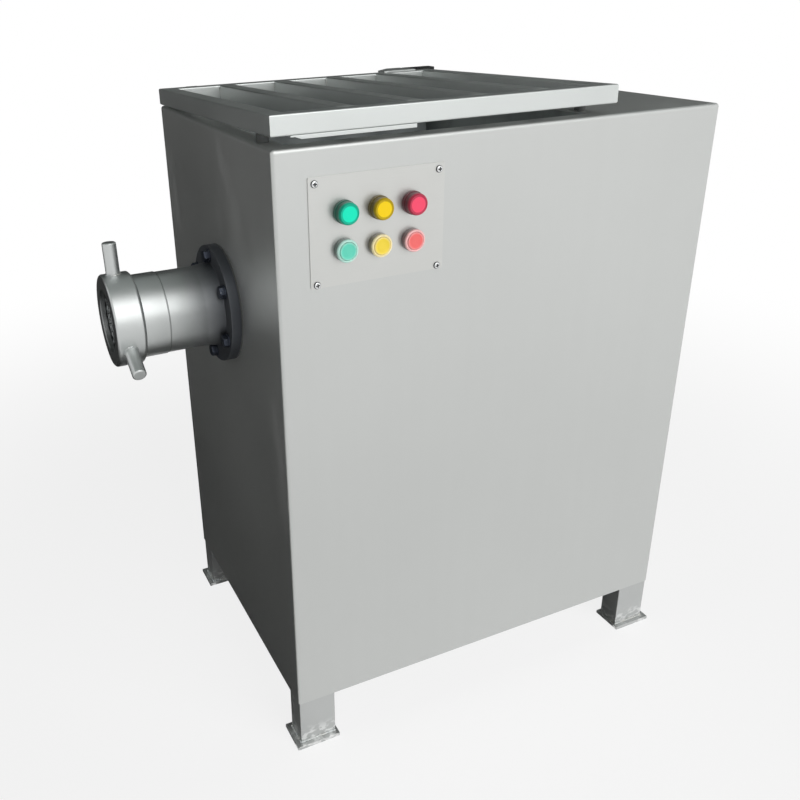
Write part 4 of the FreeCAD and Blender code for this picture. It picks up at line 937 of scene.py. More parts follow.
def feed_screw_tree():
    """Helical flight round a tapered core, along Z from the knife end."""
    grow = Grower("feed_screw", Length=0.54, Pitch=0.068, Radius=0.0472, Root_Radius=0.016,
                  Root_Width=0.009, Tip_Width=0.005, Core_Front=0.025, Core_Back=0.018)
    turns = (grow["Length"] - grow["Root Width"]) / grow["Pitch"]
    steps = grow.math("ROUND", turns * 56.0)
    share = grow.node("GeometryNodeInputIndex") / steps
    along = grow["Root Width"] / 2.0 + share * turns * grow["Pitch"]
    reach = (grow["Radius"] + grow["Root Radius"]) / 2.0
    line = grow.moved(grow.row(steps + 1.0, (0.0, 0.0, MM)),
                      grow.polar(reach, share * turns, along))
    path = grow.node("GeometryNodeMeshToCurve", {}, {"Mesh": line})
    path = grow.node("GeometryNodeSetCurveNormal", {"mode": "Z_UP"}, {"Curve": path})
    section = grow.node("GeometryNodeCurvePrimitiveQuadrilateral", {"mode": "TRAPEZOID"},
                        {"Height": grow["Radius"] - grow["Root Radius"], "Offset": 0.0,
                         "Bottom Width": grow["Root Width"], "Top Width": grow["Tip Width"]})
    section = grow.node("GeometryNodeTransform", {},
                        {"Geometry": grow.rounded(section, 1.2 * MM, 2),
                         "Rotation": (0.0, 0.0, -QUARTER_TURN)})
    core = grow.node("GeometryNodeMeshCone", {},
                     {"Vertices": 72, "Radius Top": grow["Core Back"],
                      "Radius Bottom": grow["Core Front"], "Depth": grow["Length"]})
    return grow.close(grow.join(grow.swept(path, section), core))


def thread_tree():
    """Helical thread of a round land, along Z; the first and last rows lie at its root."""
    grow = Grower("thread", Length=0.03, Radius=0.057, Depth=0.0012, Pitch=0.004, Rows=64)
    land, turn, share = grow.lattice(97, grow["Rows"])
    phase = share * grow["Length"] / grow["Pitch"] - turn
    wave = 0.5 + 0.5 * grow.math("COSINE", phase * FULL_TURN)
    inside = grow.math("LESS_THAN", grow.math("ABSOLUTE", share - 0.5), 0.499)
    out = grow["Radius"] - grow["Depth"] * (1.0 - wave * inside)
    land = grow.moved(land, grow.polar(out, turn, share * grow["Length"]))
    return grow.close(grow.merged(land))


def grown(name, tree, material, points=((0.0, 0.0, 0.0),), edges=(), place=None, **values):
    """Grow a tree on points or edges and return the result as a plain mesh object."""
    mesh = bpy.data.meshes.new(name + "_points")
    mesh.from_pydata([tuple(point) for point in points], list(edges), [])
    made = new_object(name, mesh)
    growth = made.modifiers.new("growth", "NODES")
    growth.node_group = tree
    wanted = {key.replace("_", " "): value for key, value in values.items()}
    wanted["Material"] = material
    for item in tree.interface.items_tree:
        if item.in_out == "INPUT" and item.name in wanted:
            growth[item.identifier] = wanted.pop(item.name)
    if wanted:
        raise ValueError("tree %s has no input %s" % (tree.name, sorted(wanted)))
    baked(made)
    if place is not None:
        made.data.transform(place)
    return made


def welded(name, points, edges, body, slot, place=None, **sizes):
    """Lay weld beads along edges."""
    beads = grown(name, weld_tree(), finish("weld"), points, edges, place, **sizes)
    smooth(beads, 80.0)
    dress(beads, body=body, slot=slot)


# Settings that a user would change

def length(name, description, millimetres):
    """Return a property for a length."""
    return bpy.props.FloatProperty(name=name, description=description, precision=5,
                                   default=millimetres * MM, subtype="DISTANCE", unit="LENGTH")


def colour(name, description, code):
    """Return a property for a colour."""
    return bpy.props.FloatVectorProperty(name=name, description=description, size=3, min=0.0,
                                         max=1.0, default=tint(code)[:3], subtype="COLOR")


def share(name, description, default):
    """Return a property from 0 to 1."""
    return bpy.props.FloatProperty(name=name, description=description, default=default,
                                   min=0.0, max=1.0, subtype="FACTOR")


def angle(name, description, default):
    """Return a property for an angle."""
    return bpy.props.FloatProperty(name=name, description=description, default=default,
                                   subtype="ANGLE", unit="ROTATION")


def power(name, description, watts):
    """Return a property for the power of a lamp."""
    return bpy.props.FloatProperty(name=name, description=description, default=watts,
                                   unit="POWER")


class GRINDER_PG_steel(bpy.types.PropertyGroup):
    """Colours and gloss of the steels"""
    sheet_colour: colour("Sheet colour", "Stainless sheet of the cabinet", "#CACCCA")
    plate_colour: colour("Plate colour", "Brushed control plate", "#D0D1CE")
    tube_colour: colour("Tube colour", "Stainless tube of the guard", "#D5D9D7")
    turned_colour: colour("Turned colour", "Turned head and ring nut", "#C9CCCB")
    # colour next to the end panel: partly heat and oil tint, partly painted shade and painted
    # reflection
    flange_colour: colour("Flange colour", "Darkened metal next to the end panel", "#272B34")
    sheet_metal: share("Sheet metal", "How metallic the satin sheet looks", 0.8)
    sheet_roughness: share("Sheet roughness", "Roughness of the blasted sheet", 0.4)
    turned_roughness: share("Turned roughness", "Roughness of the turned pieces", 0.4)
    sheet_wave: length("Sheet wave", "Height of the slow waves in the sheet", 2.4)


class GRINDER_PG_head(bpy.types.PropertyGroup):
    """Sizes of the turned head"""
    barrel_radius: length("Barrel radius", "Outside of the barrel behind its seam", 59.5)
    front_radius: length("Front radius", "Outside of the barrel in front of its seam", 60.5)
    neck_radius: length("Neck radius", "Outside of the barrel at its flange", 62.5)
    neck_length: length("Neck length", "Taper between flange and barrel", 26.0)
    bore_radius: length("Bore radius", "Inside of the barrel", 48.0)
    flange_thickness: length("Flange thickness", "Thickness of the bolting flange", 15.0)
    seam_place: length("Seam", "Distance of the turned seam from the end panel", 98.0)
    shoulder_place: length("Shoulder", "Distance of the thread's shoulder from the end panel",
                           133.0)
    thread_radius: length("Thread radius", "Outside of the thread", 57.0)
    thread_pitch: length("Thread pitch", "Travel of the ring nut for each turn", 4.0)
    thread_depth: length("Thread depth", "Depth of the thread", 1.4)
    edge: length("Edge radius", "Rounding of the turned edges", 1.2)


class GRINDER_PG_guard(bpy.types.PropertyGroup):
    """Sizes of the guard"""
    slat_count: bpy.props.IntProperty(name="Slats", description="Cross tubes of the guard",
                                      default=4, min=1)
    tube_corner: length("Tube corner", "Rounding of the square tube", 2.2)
    weld_radius: length("Weld radius", "Radius of the weld beads", 1.3)
    tilt: angle("Tilt", "Resting slope of the guard", math.radians(1.5))


class GRINDER_PG_controls(bpy.types.PropertyGroup):
    """Colours of the lamps and buttons"""
    green_lens: colour("Green lens", "Lit middle of the green lamp", "#00E0B8")
    yellow_lens: colour("Yellow lens", "Lit middle of the yellow lamp", "#EDC900")
    red_lens: colour("Red lens", "Lit middle of the red lamp", "#ED4A69")
    green_cap: colour("Green cap", "Cap of the green button", "#55D6BA")
    yellow_cap: colour("Yellow cap", "Cap of the yellow button", "#F8D91E")
    red_cap: colour("Red cap", "Cap of the red button", "#F5625F")
    plate_corner: length("Plate corner", "Corner radius of the control plate", 2.0)


class GRINDER_PG_studio(bpy.types.PropertyGroup):
    """Floor, light and camera"""
    floor_colour: colour("Floor", "Pale floor", "#FEFEFE")
    shadow_share: share("Shadow share", "How much of the near floor takes light and shadow", 0.15)
    key_power: power("Key power", "Power of the front lamp", 335.0)
    gloss_power: power("Gloss power", "Power of the high lamp that only gloss shows", 58.0)
    fill: share("Fill", "Strength of the even light from all round", 0.06)
    card_tone: share("Card tone", "Grey of the cards beside, under and behind the object", 0.01)
    over_tone: share("Over tone", "Grey of the card above", 0.32)
    lens: bpy.props.FloatProperty(name="Lens", description="Focal length in millimetres",
                                  default=38.88)
    yaw: angle("Yaw", "Camera turned to the right", 0.4088)
    pitch: angle("Pitch", "Camera turned down", 0.4204)
    roll: angle("Roll", "Camera rolled", -0.0318)


SETTINGS = {
    "grinder_steel": GRINDER_PG_steel,
    "grinder_head": GRINDER_PG_head,
    "grinder_guard": GRINDER_PG_guard,
    "grinder_controls": GRINDER_PG_controls,
    "grinder_studio": GRINDER_PG_studio,
}


# Pieces

class GRINDER_OT_cabinet(bpy.types.Operator):
    """Finish the folded cabinet skin, the hopper and the base"""
    bl_idname = "grinder.cabinet"
    bl_label = "Cabinet"

    def execute(self, context):
        repaint("front_panel", "left_end_panel", "right_end_panel", "top_plate", "base_frame",
                "electrical_enclosure")
        repaint("hopper", kind="hopper_steel")
        return {"FINISHED"}


class GRINDER_OT_legs(bpy.types.Operator):
    """Round the leg tubes and foot plates and lay the weld beads round each leg"""
    bl_idname = "grinder.legs"
    bl_label = "Legs"

    def execute(self, context):
        refined("legs", 1.6, 3)
        refined("foot_plates", 0.8)
        width, depth = 60.0 * MM, 40.0 * MM
        near, far = low("legs"), high("legs")
        points = []
        edges = []
        for x in (near.x, far.x - width):
            for y in (near.y, far.y - depth):
                edges += closed_loop(len(points), 4)
                points += flat_corners(x, y, x + width, y + depth, high("foot_plates").z)
        welded("leg_welds", points, edges, "root", "frame_steel", Radius=2.2 * MM,
               Spacing=1.6 * MM, Seed=4)
        return {"FINISHED"}


class GRINDER_OT_guard(bpy.types.Operator):
    """Build the mitred guard frame, its slats, the lifting lip and the welds"""
    bl_idname = "grinder.guard"
    bl_label = "Guard"

    def execute(self, context):
        guard = context.scene.grinder_guard
        tilt = Matrix.Translation(GUARD_AXIS) @ Matrix.Rotation(-guard.tilt, 4, "X")
        tilt = tilt @ Matrix.Translation(-GUARD_AXIS)
        bar = 25.0 * MM
        near, far = guard_outline(tilt)
        tubes = from_form("guard_tubes", mitred_frame(near, far, bar, guard.tube_corner),
                          finish("tube_steel"), tilt)
        settled(tubes, sharp_angle=40.0)
        dress(tubes, "guard_frame")
        free = (far.x - near.x) - bar * (guard.slat_count + 2)
        pitch = free / (guard.slat_count + 1) + bar
        start = Vector((near.x + pitch + bar / 2, near.y + bar, near.z + bar / 2))
        slats = grown("guard_cross_tubes", tube_row_tree(), finish("tube_steel"),
                      place=tilt @ Matrix.Translation(start), Count=guard.slat_count,
                      Pitch=pitch, Length=far.y - near.y - 2 * bar, Width=bar,
                      Corner=guard.tube_corner)
        settled(slats, sharp_angle=40.0)
        dress(slats, "guard_slats")
        slat_sides = [near.x + (i + 1) * pitch + side for i in range(guard.slat_count)
                      for side in (0, bar)]
        points, edges = guard_weld_lines(near, far, bar, slat_sides)
        welded("guard_welds", points, edges, "guard", "tube_steel", tilt,
               Radius=guard.weld_radius, Spacing=1.1 * MM, Seed=7)
        refined("guard_lift_lip", 0.5)
        refined("guard_hinge_leaves", 0.7)
        repaint("hinge_pins")
        return {"FINISHED"}


def guard_outline(tilt):
    """Return the low and high corner of the guard before it is tilted."""
    vertices = frame["nodes"]["guard_frame"].data.vertices
    points = [tilt.inverted() @ vertex.co for vertex in vertices]
    return (Vector([pick(point[k] for point in points) for k in range(3)])
            for pick in (min, max))


def section_points(bar, corner, steps=4):
    """Return the outline of a square tube with rounded edges, from its outer lower edge."""
    far = bar - corner
    points = []
    for i, (along, up) in enumerate(((far, corner), (far, far), (corner, far),
                                     (corner, corner))):
        for k in range(steps + 1):
            turn = QUARTER_TURN * (i - 1 + k / steps)
            points.append((along + corner * math.cos(turn), up + corner * math.sin(turn)))
    return points


def mitred_frame(near, far, bar, corner):
    """Return four tubes joined at mitred corners."""
    section = section_points(bar, corner)
    form = bmesh.new()
    rings = []
    for x, y, in_x, in_y in ((near.x, near.y, 1, 1), (far.x, near.y, -1, 1),
                             (far.x, far.y, -1, -1), (near.x, far.y, 1, -1)):
        rings.append([form.verts.new((x + in_x * a, y + in_y * a, near.z + b))
                      for a, b in section])
    for first, second in zip(rings, rings[1:] + rings[:1]):
        for k, after in closed_loop(0, len(section)):
            form.faces.new((first[k], first[after], second[after], second[k]))
    bmesh.ops.recalc_face_normals(form, faces=form.faces)
    return form


def guard_weld_lines(near, far, bar, slat_sides):
    """Return points and edges of the beads where slats meet the frame and in its corners."""
    inset = 2.0 * MM
    rails = (near.y + bar, far.y - bar)
    spots = [(x, y) for i in range(0, len(slat_sides), 2) for y in rails
             for x in slat_sides[i:i + 2]]
    spots += [(x, y) for x in (near.x + bar, far.x - bar) for y in rails]
    points = [(x, y, z) for x, y in spots for z in (near.z + inset, near.z + bar - inset)]
    return points, [(k, k + 1) for k in range(0, len(points), 2)]


class GRINDER_OT_hinges(bpy.types.Operator):
    """Finish the hinge brackets, the safety switch and the rubber stops"""
    bl_idname = "grinder.hinges"
    bl_label = "Hinges"

    def execute(self, context):
        refined("hinge_brackets", 0.6)
        refined("hinge_switch", 1.2, 3)
        refined("guard_buffers", 0.8)
        return {"FINISHED"}


class GRINDER_OT_head(bpy.types.Operator):
    """Turn the barrel with its flange, seam, bore grooves and thread"""
    bl_idname = "grinder.head"
    bl_label = "Head"

    def execute(self, context):
        head = context.scene.grinder_head
        face = low("left_end_panel").x
        back = high("barrel").x - face
        mouth = face - low("barrel").x
        gasket = 2.0 * MM
        flange = gasket + head.flange_thickness
        spigot = head.bore_radius + 7.0 * MM
        seam = 1.2 * MM
        seat = face - (high("cutting_plate").x + TURNED_GAP)
        seat_radius = 50.3 * MM
        root = head.thread_radius - head.thread_depth
        outline = [(-back, head.bore_radius), (-back, spigot), (gasket, spigot),
                   (gasket, radius_of("barrel")), (flange, radius_of("barrel")),
                   (flange, head.neck_radius), (flange + head.neck_length, head.barrel_radius),
                   (head.seam_place - seam, head.barrel_radius),
                   (head.seam_place - seam, head.barrel_radius - seam),
                   (head.seam_place, head.barrel_radius - seam),
                   (head.seam_place, head.front_radius),
                   (head.shoulder_place, head.front_radius), (head.shoulder_place, root),
                   (mouth, root), (mouth, seat_radius), (seat, seat_radius),
                   (seat, head.bore_radius)]
        barrel = turned("turned_barrel", outline, head.edge, 144, finish("turned_steel"),
                        laid(RIGHT, -RIGHT, on_axis(face)), cutter=bore_grooves(head))
        dress(barrel, "barrel")
        land = mouth - head.shoulder_place
        thread = grown("barrel_thread", thread_tree(), finish("turned_steel"),
                       place=laid(UP, -RIGHT, on_axis(face - head.shoulder_place)),
                       Length=land, Radius=head.thread_radius, Depth=head.thread_depth,
                       Pitch=head.thread_pitch, Rows=int(land / head.thread_pitch * 10))
        smooth(thread, 60.0)
        dress(thread, body="root", slot="turned_steel")
        repaint("barrel_gasket", "plate_key")
        return {"FINISHED"}


def bore_grooves(head):
    """Return the cutter for the long grooves inside the barrel."""
    count = 6
    width = 6.0 * MM
    top = head.bore_radius + 2.5 * MM
    knife_room = 16.3 * MM
    start = high("cutting_plate").x + TURNED_GAP - knife_room
    end = high("barrel").x + MM
    form = bmesh.new()
    for i in range(count):
        cube = bmesh.ops.create_cube(form, size=1.0)["verts"]
        shape = Matrix.Diagonal((end - start, width, top / 2, 1.0))
        shift = Matrix.Translation(((start + end) / 2, 0, top * 0.75))
        turn = Matrix.Rotation(FULL_TURN * (i + 0.5) / count, 4, "X")
        bmesh.ops.transform(form, matrix=turn @ shift @ shape, verts=cube)
    return from_form("bore_cutter", form, None, Matrix.Translation(on_axis(0)))


class GRINDER_OT_ring_nut(bpy.types.Operator):
    """Turn the ring nut and its three handle bars"""
    bl_idname = "grinder.ring_nut"
    bl_label = "Ring nut"

    def execute(self, context):
        head = context.scene.grinder_head
        front, back = low("ring_nut").x, high("ring_nut").x
        deep = back - front
        radius = radius_of("ring_nut")
        opening, lip, chamfer, mouth_edge = 44.5 * MM, 8.0 * MM, 2.5 * MM, 1.0 * MM
        bore = head.thread_radius + TURNED_GAP + head.thread_depth
        outline = [(0, opening + mouth_edge), (0, radius - chamfer), (chamfer, radius),
                   (deep - chamfer, radius), (deep, radius - chamfer), (deep, bore),
                   (lip, bore), (lip, opening), (mouth_edge, opening)]
        nut = turned("turned_ring_nut", outline, head.edge, 144, finish("turned_steel"),
                     Matrix.Translation(on_axis(front)))
        dress(nut, "ring_nut")
        for index, degrees in enumerate((94.0, 214.0, 334.0)):
            self.handle(index, math.radians(degrees), radius)
        return {"FINISHED"}

    def handle(self, index, turn, nut_radius):
        """Make one handle bar with its weld."""
        outward = Vector((0, -math.cos(turn), math.sin(turn)))
        side = Vector((0, -outward.z, outward.y))
        centre = on_axis(middle("ring_handles").x)
        radius = (high("ring_handles").x - low("ring_handles").x) / 2
        reach, foot, chamfer = 112.0 * MM, nut_radius - 5.0 * MM, 1.5 * MM
        outline = [(foot, 0), (foot, radius), (reach - chamfer, radius),
                   (reach, radius - chamfer), (reach, 0)]
        name = "handle_bar_%d" % (index + 1)
        bar = turned(name, outline, 0.6 * MM, 48, finish("turned_steel"),
                     laid(RIGHT, outward, centre))
        dress(bar, "ring_handles")
        count = 40
        points = []
        for k in range(count):
            around = FULL_TURN * k / count
            across = math.sin(around) * radius
            sink = math.sqrt(nut_radius ** 2 - across ** 2)
            points.append(centre + RIGHT * math.cos(around) * radius + side * across
                          + outward * sink)
        welded(name + "_weld", points, closed_loop(0, count), "ring", "turned_steel",
               Radius=1.2 * MM, Spacing=1.1 * MM, Seed=index)


class GRINDER_OT_cutting(bpy.types.Operator):
    """Grow the perforated plate and the feed screw, and finish the knife"""
    bl_idname = "grinder.cutting"
    bl_label = "Plate, knife and feed screw"

    def execute(self, context):
        front, back = low("cutting_plate").x, high("cutting_plate").x
        rings = ((18.5, 8), (29.5, 13), (40.5, 18))
        values = {}
        for i, (ring_mm, holes) in enumerate(rings):
            values["Ring_%d_Radius" % (i + 1)] = ring_mm * MM
            values["Ring_%d_Holes" % (i + 1)] = holes
        plate = grown("perforated_plate", perforated_plate_tree(len(rings)),
                      finish("knife_steel"), place=laid(UP, RIGHT, on_axis(front)),
                      Radius=radius_of("cutting_plate"), Thickness=back - front,
                      Hole_Radius=5.0 * MM, Bush_Radius=10.05 * MM, **values)
        settled(plate, 0.5 * MM, 1)
        dress(plate, "cutting_plate")
        self.screw()
        refined("knife", 0.4)
        repaint("output_shaft")
        return {"FINISHED"}

    def screw(self):
        """Make the feed screw with its stud and pin."""
        start, end = high("knife").x, high("feed_screw").x
        screw = grown("helical_feed_screw", feed_screw_tree(), finish("turned_steel"),
                      place=laid(UP, RIGHT, on_axis(start)), Length=end - start,
                      Radius=radius_of("feed_screw"))
        settled(screw, sharp_angle=50.0)
        dress(screw, "feed_screw")
        tip = low("feed_screw").x
        pin_radius = 10.0 * MM
        outline = [(tip, 0), (tip, pin_radius), (start, pin_radius), (start, 0)]
        pin = turned("feed_screw_pin", outline, 0.8 * MM, 48, finish("turned_steel"),
                     Matrix.Translation(on_axis(0)))
        dress(pin, body="screw", slot="turned_steel")


class GRINDER_OT_fixings(bpy.types.Operator):
    """Grow the flange bolts and all cross-head screws"""
    bl_idname = "grinder.fixings"
    bl_label = "Bolts and screws"

    def execute(self, context):
        circle = 74.0 * MM
        seat = low("barrel_washers").x
        count = 6
        points = []
        for i in range(count):
            turn = FULL_TURN * (0.25 + i / count)
            points.append(on_axis(seat)
                          + Vector((0, -circle * math.cos(turn), circle * math.sin(turn))))
        heads = grown("flange_bolt_heads", hex_head_tree(), finish("flange_steel"), points,
                      Head_Height=seat - low("barrel_bolts").x,
                      Facing=(0.0, -QUARTER_TURN, 0.0), Seed=3)
        settled(heads, 0.3 * MM, 1)
        dress(heads, "barrel_bolts")
        refined("barrel_washers", 0.3, 1)
        self.panel_screws()
        self.rear_screws()
        return {"FINISHED"}

    def panel_screws(self):
        """Grow the four screws of the control plate."""
        radius = 4.8 * MM
        near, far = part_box("control_plate_screws")
        seat = low("control_plate").y
        points = [(x, seat, z) for x in (near.x + radius, far.x - radius)
                  for z in (near.z + radius, far.z - radius)]
        self.screws("control_plate", points, radius, seat - near.y, QUARTER_TURN, 5)

    def rear_screws(self):
        """Grow the screws of the service panel, round its edge."""
        radius, rise = 5.0 * MM, 3.0 * MM
        near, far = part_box("rear_panel_screws")
        rows, columns = 4, 3
        points = []
        for i in range(rows):
            for j in range(columns):
                if i in (0, rows - 1) or j in (0, columns - 1):
                    x = near.x + radius + (far.x - near.x - 2 * radius) * j / (columns - 1)
                    z = near.z + radius + (far.z - near.z - 2 * radius) * i / (rows - 1)
                    points.append((x, far.y - rise, z))
        self.screws("rear_panel", points, radius, rise, -QUARTER_TURN, 9)

    def screws(self, carrier, points, radius, height, turn, seed):
        """Grow the screws of one panel, turned about X to face out of it."""
        screws = grown(carrier + "_cross_screws", cross_screw_tree(), finish("bright_screw"),
                       points, Head_Radius=radius, Head_Height=height,
                       Facing=(turn, 0.0, 0.0), Seed=seed)
        settled(screws, sharp_angle=30.0)
        dress(screws, carrier + "_screws")


class GRINDER_OT_control_panel(bpy.types.Operator):
    """Punch the control plate and turn the lamps, bezels and caps"""
    bl_idname = "grinder.control_panel"
    bl_label = "Control panel"

    def execute(self, context):
        near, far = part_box("control_plate")
        centre = middle("control_plate")
        holes = []
        for name in COLOURS:
            for kind in ("lamp_lens_", "button_cap_"):
                offset = middle(kind + name) - centre
                holes.append((offset.x, offset.z, 0.0))
        stand = Matrix.Translation((centre.x, far.y, centre.z))
        stand = stand @ Matrix.Rotation(QUARTER_TURN, 4, "X")
        plate = grown("punched_control_plate", punched_sheet_tree(), finish("plate_steel"),
                      holes, place=stand, Width=far.x - near.x, Height=far.z - near.z,
                      Corner=context.scene.grinder_controls.plate_corner,
                      Thickness=far.y - near.y, Hole_Radius=11.3 * MM)
        settled(plate, 0.35 * MM, 2)
        dress(plate, "control_plate")
        for name in COLOURS:
            self.lamp(name)
            self.button(name)
        repaint("switch_bodies")
        return {"FINISHED"}

    def device(self, name, outline, rounding, steps, material, centre, seat):
        """Turn one round piece that stands out of the panel."""
        return turned(name, outline, rounding, 72, material,
                      laid(RIGHT, OUT_OF_PANEL, Vector((centre.x, seat, centre.z))), steps)

    def lamp(self, name):
        """Turn one lamp lens: a collar, a step and a soft-edged drum."""
        node = "lamp_lens_" + name
        seat = high(node).y
        height = seat - low(node).y
        radius = radius_of(node)
        collar, dish = 6.0 * MM, 0.5 * MM
        outline = [(0, 0), (0, radius), (collar, radius), (collar, radius - 0.6 * MM),
                   (height - 2.5 * MM, radius - 0.9 * MM), (height, radius - 2.4 * MM),
                   (height, radius - 3.4 * MM), (height - dish, radius - 4.0 * MM),
                   (height - dish, 0)]
        lens = self.device("lens_" + name, outline, 0.9 * MM, 5, finish(name + "_lens"),
                           middle(node), seat)
        dress(lens, node)

    def button(self, name):
        """Turn one bezel and its cap."""
        node = "button_cap_" + name
        centre = middle(node)
        seat = high("button_bezels").y
        front = seat - low("button_bezels").y
        radius, inner, edge = 15.0 * MM, 12.0 * MM, 1.5 * MM
        outline = [(0, inner), (0, radius), (front - edge, radius), (front, radius - edge),
                   (front, inner)]
        bezel = self.device("bezel_" + name, outline, 0.9 * MM, 4, bezel_finish(name), centre,
                            seat)
        dress(bezel, "button_bezels")
        back, tip = seat - high(node).y, seat - low(node).y
        radius, dish = radius_of(node), 0.5 * MM
        outline = [(back, 0), (back, radius), (tip - 1.0 * MM, radius),
                   (tip, radius - 1.2 * MM), (tip - dish, radius - 4.0 * MM), (tip - dish, 0)]
        cap = self.device("cap_" + name, outline, 0.8 * MM, 4, finish(name + "_cap"), centre,
                          seat)
        dress(cap, node)


class GRINDER_OT_service_side(bpy.types.Operator):
    """Finish the service panel with its louvres, and the cable gland"""
    bl_idname = "grinder.service_side"
    bl_label = "Service side"

    def execute(self, context):
        repaint("rear_panel")
        refined("cable_gland", 0.4)
        return {"FINISHED"}


class GRINDER_OT_drive(bpy.types.Operator):
    """Finish the motor, belts, sheaves, gearbox and shafts"""
    bl_idname = "grinder.drive"
    bl_label = "Drive"

    def execute(self, context):
        for node, bevel_mm in (("gearbox_housing", 1.5), ("gearbox_cover", 1.2),
                               ("motor_end_shields", 1.0), ("motor_terminal_box", 2.0),
                               ("motor_fan_cover", 0.5), ("motor_rails", 0.8)):
            refined(node, bevel_mm)
        repaint("shaft_seal", "gearbox_bolts", "gearbox_bearings", "gearbox_bracket", "v_belts",
                "motor_housing", "output_gear", "input_shaft", "large_sheave", "small_sheave",
                "motor_rotor", "motor_fan")
        return {"FINISHED"}


class GRINDER_OT_stage(bpy.types.Operator):
    """Set up the pale floor, the even light, the lamps and the camera"""
    bl_idname = "grinder.stage"
    bl_label = "Stage"

    def execute(self, context):
        studio = context.scene.grinder_studio
        self.floor(studio)
        self.world(studio)
        self.cards(studio)
        front = self.lamp("front_lamp", studio.key_power, 5.0, Vector((1.6, -5.2, 1.4)))
        front.visible_glossy = False
        gloss = self.lamp("gloss_lamp", studio.gloss_power, 3.4, Vector((0.2, -3.3, 3.2)))
        gloss.visible_diffuse = False
        self.camera(studio)
        context.scene.view_settings.view_transform = "Standard"
        return {"FINISHED"}

    def floor(self, studio):
        """Lay a pale floor that keeps a trace of the shadow and fades into the white round it."""
        half, sink = 14.0, -0.4 * MM
        skin = Finish("pale_floor")
        white = (1.0, 1.0, 1.0, 1.0)
        near = skin.between(skin.radius((0, 0, 0), "Z"), 2.4, 0.7)
        colour = skin.mix(near, white, setting("studio", "floor_colour"))
        matt = skin.node("ShaderNodeBsdfDiffuse", {}, {"Color": colour})
        glow = skin.node("ShaderNodeEmission", {}, {"Color": colour, "Strength": 1.0})
        shown = seen_ray(skin) * (1.0 - near * studio.shadow_share)
        surface = skin.node("ShaderNodeMixShader", {}, {0: shown, 1: matt, 2: glow})
        skin.node("ShaderNodeOutputMaterial", {}, {"Surface": surface})
        sheet("floor", flat_corners(-half, -half, half, half, sink), skin.material)

    def cards(self, studio):
        """Lay grey cards round the object; only the gloss of the metal sees them."""
        left, right, near, front, far, top, lift = -5.2, 7.0, -0.25, -1.4, 5.0, 5.0, MM
        beside = low("left_end_panel").x - 2 * MM
        inner = at(5, 5, 0)
        tone, over = studio.card_tone, studio.over_tone
        cards = {
            "low_card": (tone, [(beside - 0.9, near, lift), (beside, near, lift),
                                (beside, far, lift), (left, far, lift)]),
            # painted shade: a dark sheet under the cabinet stands in for the shaded floor in the
            # metal's reflections
            "under_card": (tone, flat_corners(inner.x, inner.y, high("right_end_panel").x,
                                              high("rear_panel").y, lift)),
            "back_card": (tone, [(left, far, lift), (right, far, lift), (right, far, top),
                                 (left, far, top)]),
            "over_card": (over, flat_corners(left, front, right, far, top)),
        }
        for name, (grey, points) in cards.items():
            skin = Finish(name)
            colour = (grey * 0.95, grey * 1.03, grey, 1.0)
            glow = skin.node("ShaderNodeEmission", {}, {"Color": colour, "Strength": 1.0})
            skin.node("ShaderNodeOutputMaterial", {}, {"Surface": glow})
            card = sheet(name, points, skin.material)
            for kind in ("camera", "diffuse", "transmission", "volume_scatter", "shadow"):
                setattr(card, "visible_" + kind, False)

    def world(self, studio):
        """Even light from all round, white where it is seen directly or in a reflection."""
        world = bpy.data.worlds.new("studio")
        world.use_nodes = True
        board = Board(world.node_tree)
        board.tree.nodes.clear()
        strength = board.math("MAXIMUM", seen_ray(board), studio.fill)
        sky = board.node("ShaderNodeBackground", {}, {"Color": (1.0, 1.0, 1.0, 1.0),
                                                      "Strength": strength})
        board.node("ShaderNodeOutputWorld", {}, {"Surface": sky})
        bpy.context.scene.world = world

    def lamp(self, name, power, size, place):
        """Add one soft square lamp that points at the middle of the cabinet."""
        aim = Vector((0, 0, 0.55))
        data = bpy.data.lights.new(name, "AREA")
        data.shape = "SQUARE"
        data.size = size
        data.energy = power
        made = bpy.data.objects.new(name, data)
        made.location = place
        made.rotation_euler = (aim - place).to_track_quat("-Z", "Y").to_euler()
        bpy.context.scene.collection.objects.link(made)
        return made

    def camera(self, studio):
        """Place the camera as in the photograph."""
        data = bpy.data.cameras.new("camera")
        data.lens = studio.lens
        data.sensor_width = 36.0
        data.shift_x = 0.102
        data.shift_y = -0.0365
        made = bpy.data.objects.new("camera", data)
        forward = Vector((math.sin(studio.yaw), math.cos(studio.yaw), 0))
        right = Vector((math.cos(studio.yaw), -math.sin(studio.yaw), 0))
        ahead = forward * math.cos(studio.pitch) - UP * math.sin(studio.pitch)
        above = UP * math.cos(studio.pitch) + forward * math.sin(studio.pitch)
        side = right * math.cos(studio.roll) + above * math.sin(studio.roll)
        top = above * math.cos(studio.roll) - right * math.sin(studio.roll)
        turn = Matrix((side, top, -ahead)).transposed()
        eye = at(-361.2, -951.4, 1110.9)
        made.matrix_world = Matrix.Translation(eye) @ turn.to_4x4()
        bpy.context.scene.collection.objects.link(made)
        bpy.context.scene.camera = made


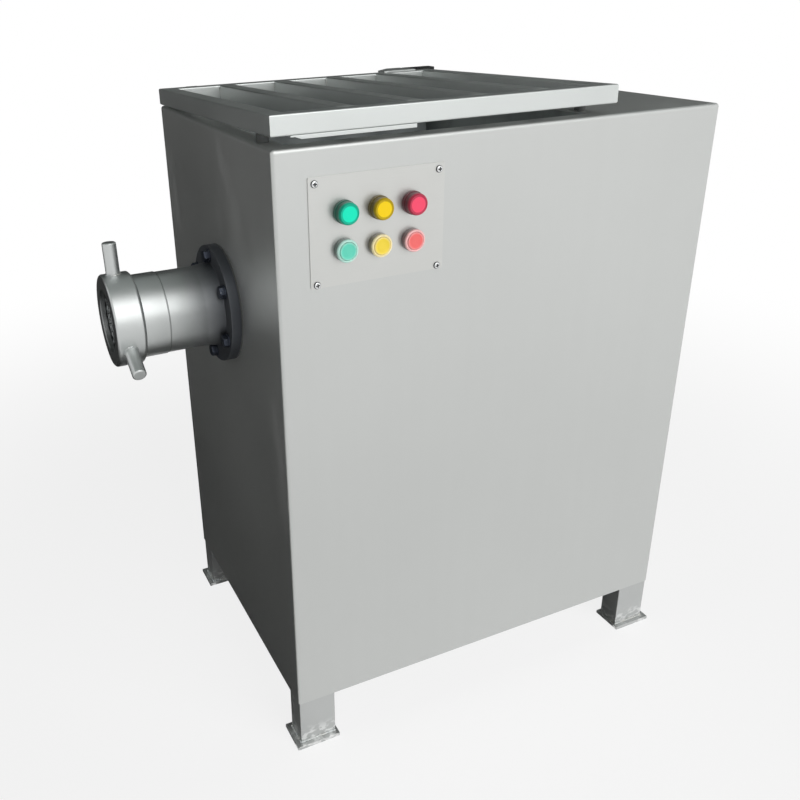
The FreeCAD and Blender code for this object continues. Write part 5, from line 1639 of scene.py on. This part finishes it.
def sheet(name, points, material):
    """Add a flat piece of the stage."""
    mesh = bpy.data.meshes.new(name)
    mesh.from_pydata(points, [], [(0, 1, 2, 3)])
    made = new_object(name, mesh, material)
    made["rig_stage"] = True
    return made


def seen_ray(board):
    """Return 1 for rays from the camera, off gloss and through glass, and 0 for the rest."""
    path = board.node("ShaderNodeLightPath").socket.node.outputs
    seen = board.math("MAXIMUM", Wire(board, path["Is Camera Ray"]),
                      Wire(board, path["Is Glossy Ray"]))
    return board.math("MAXIMUM", seen, Wire(board, path["Is Transmission Ray"]))


STEPS = (GRINDER_OT_cabinet, GRINDER_OT_legs, GRINDER_OT_guard, GRINDER_OT_hinges,
         GRINDER_OT_head, GRINDER_OT_ring_nut, GRINDER_OT_cutting, GRINDER_OT_fixings,
         GRINDER_OT_control_panel, GRINDER_OT_service_side, GRINDER_OT_drive, GRINDER_OT_stage)


class GRINDER_PT_panel(bpy.types.Panel):
    """Sizes, colours and steps of the grinder"""
    bl_idname = "GRINDER_PT_panel"
    bl_label = "Meat grinder"
    bl_space_type = "VIEW_3D"
    bl_region_type = "UI"
    bl_category = "Grinder"

    def draw(self, context):
        for name in SETTINGS:
            group = getattr(context.scene, name)
            column = self.layout.box().column()
            for key in group.__annotations__:
                column.prop(group, key)
        for step in STEPS:
            self.layout.operator(step.bl_idname)


def register():
    """Register the settings, steps and panel."""
    for name, group in SETTINGS.items():
        bpy.utils.register_class(group)
        setattr(bpy.types.Scene, name, bpy.props.PointerProperty(type=group))
    for step in STEPS:
        bpy.utils.register_class(step)
    bpy.utils.register_class(GRINDER_PT_panel)


def unregister():
    """Remove what register added."""
    bpy.utils.unregister_class(GRINDER_PT_panel)
    for step in reversed(STEPS):
        bpy.utils.unregister_class(step)
    for name, group in SETTINGS.items():
        delattr(bpy.types.Scene, name)
        bpy.utils.unregister_class(group)


def corners():
    """Return the low and high corner of what is shown, as plain lists."""
    return [list(corner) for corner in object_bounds()]


def main():
    """Run every step."""
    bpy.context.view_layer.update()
    register()
    for step in STEPS:
        area, name = step.bl_idname.split(".")
        getattr(getattr(bpy.ops, area), name)()


if __name__ == "__main__":
    main()
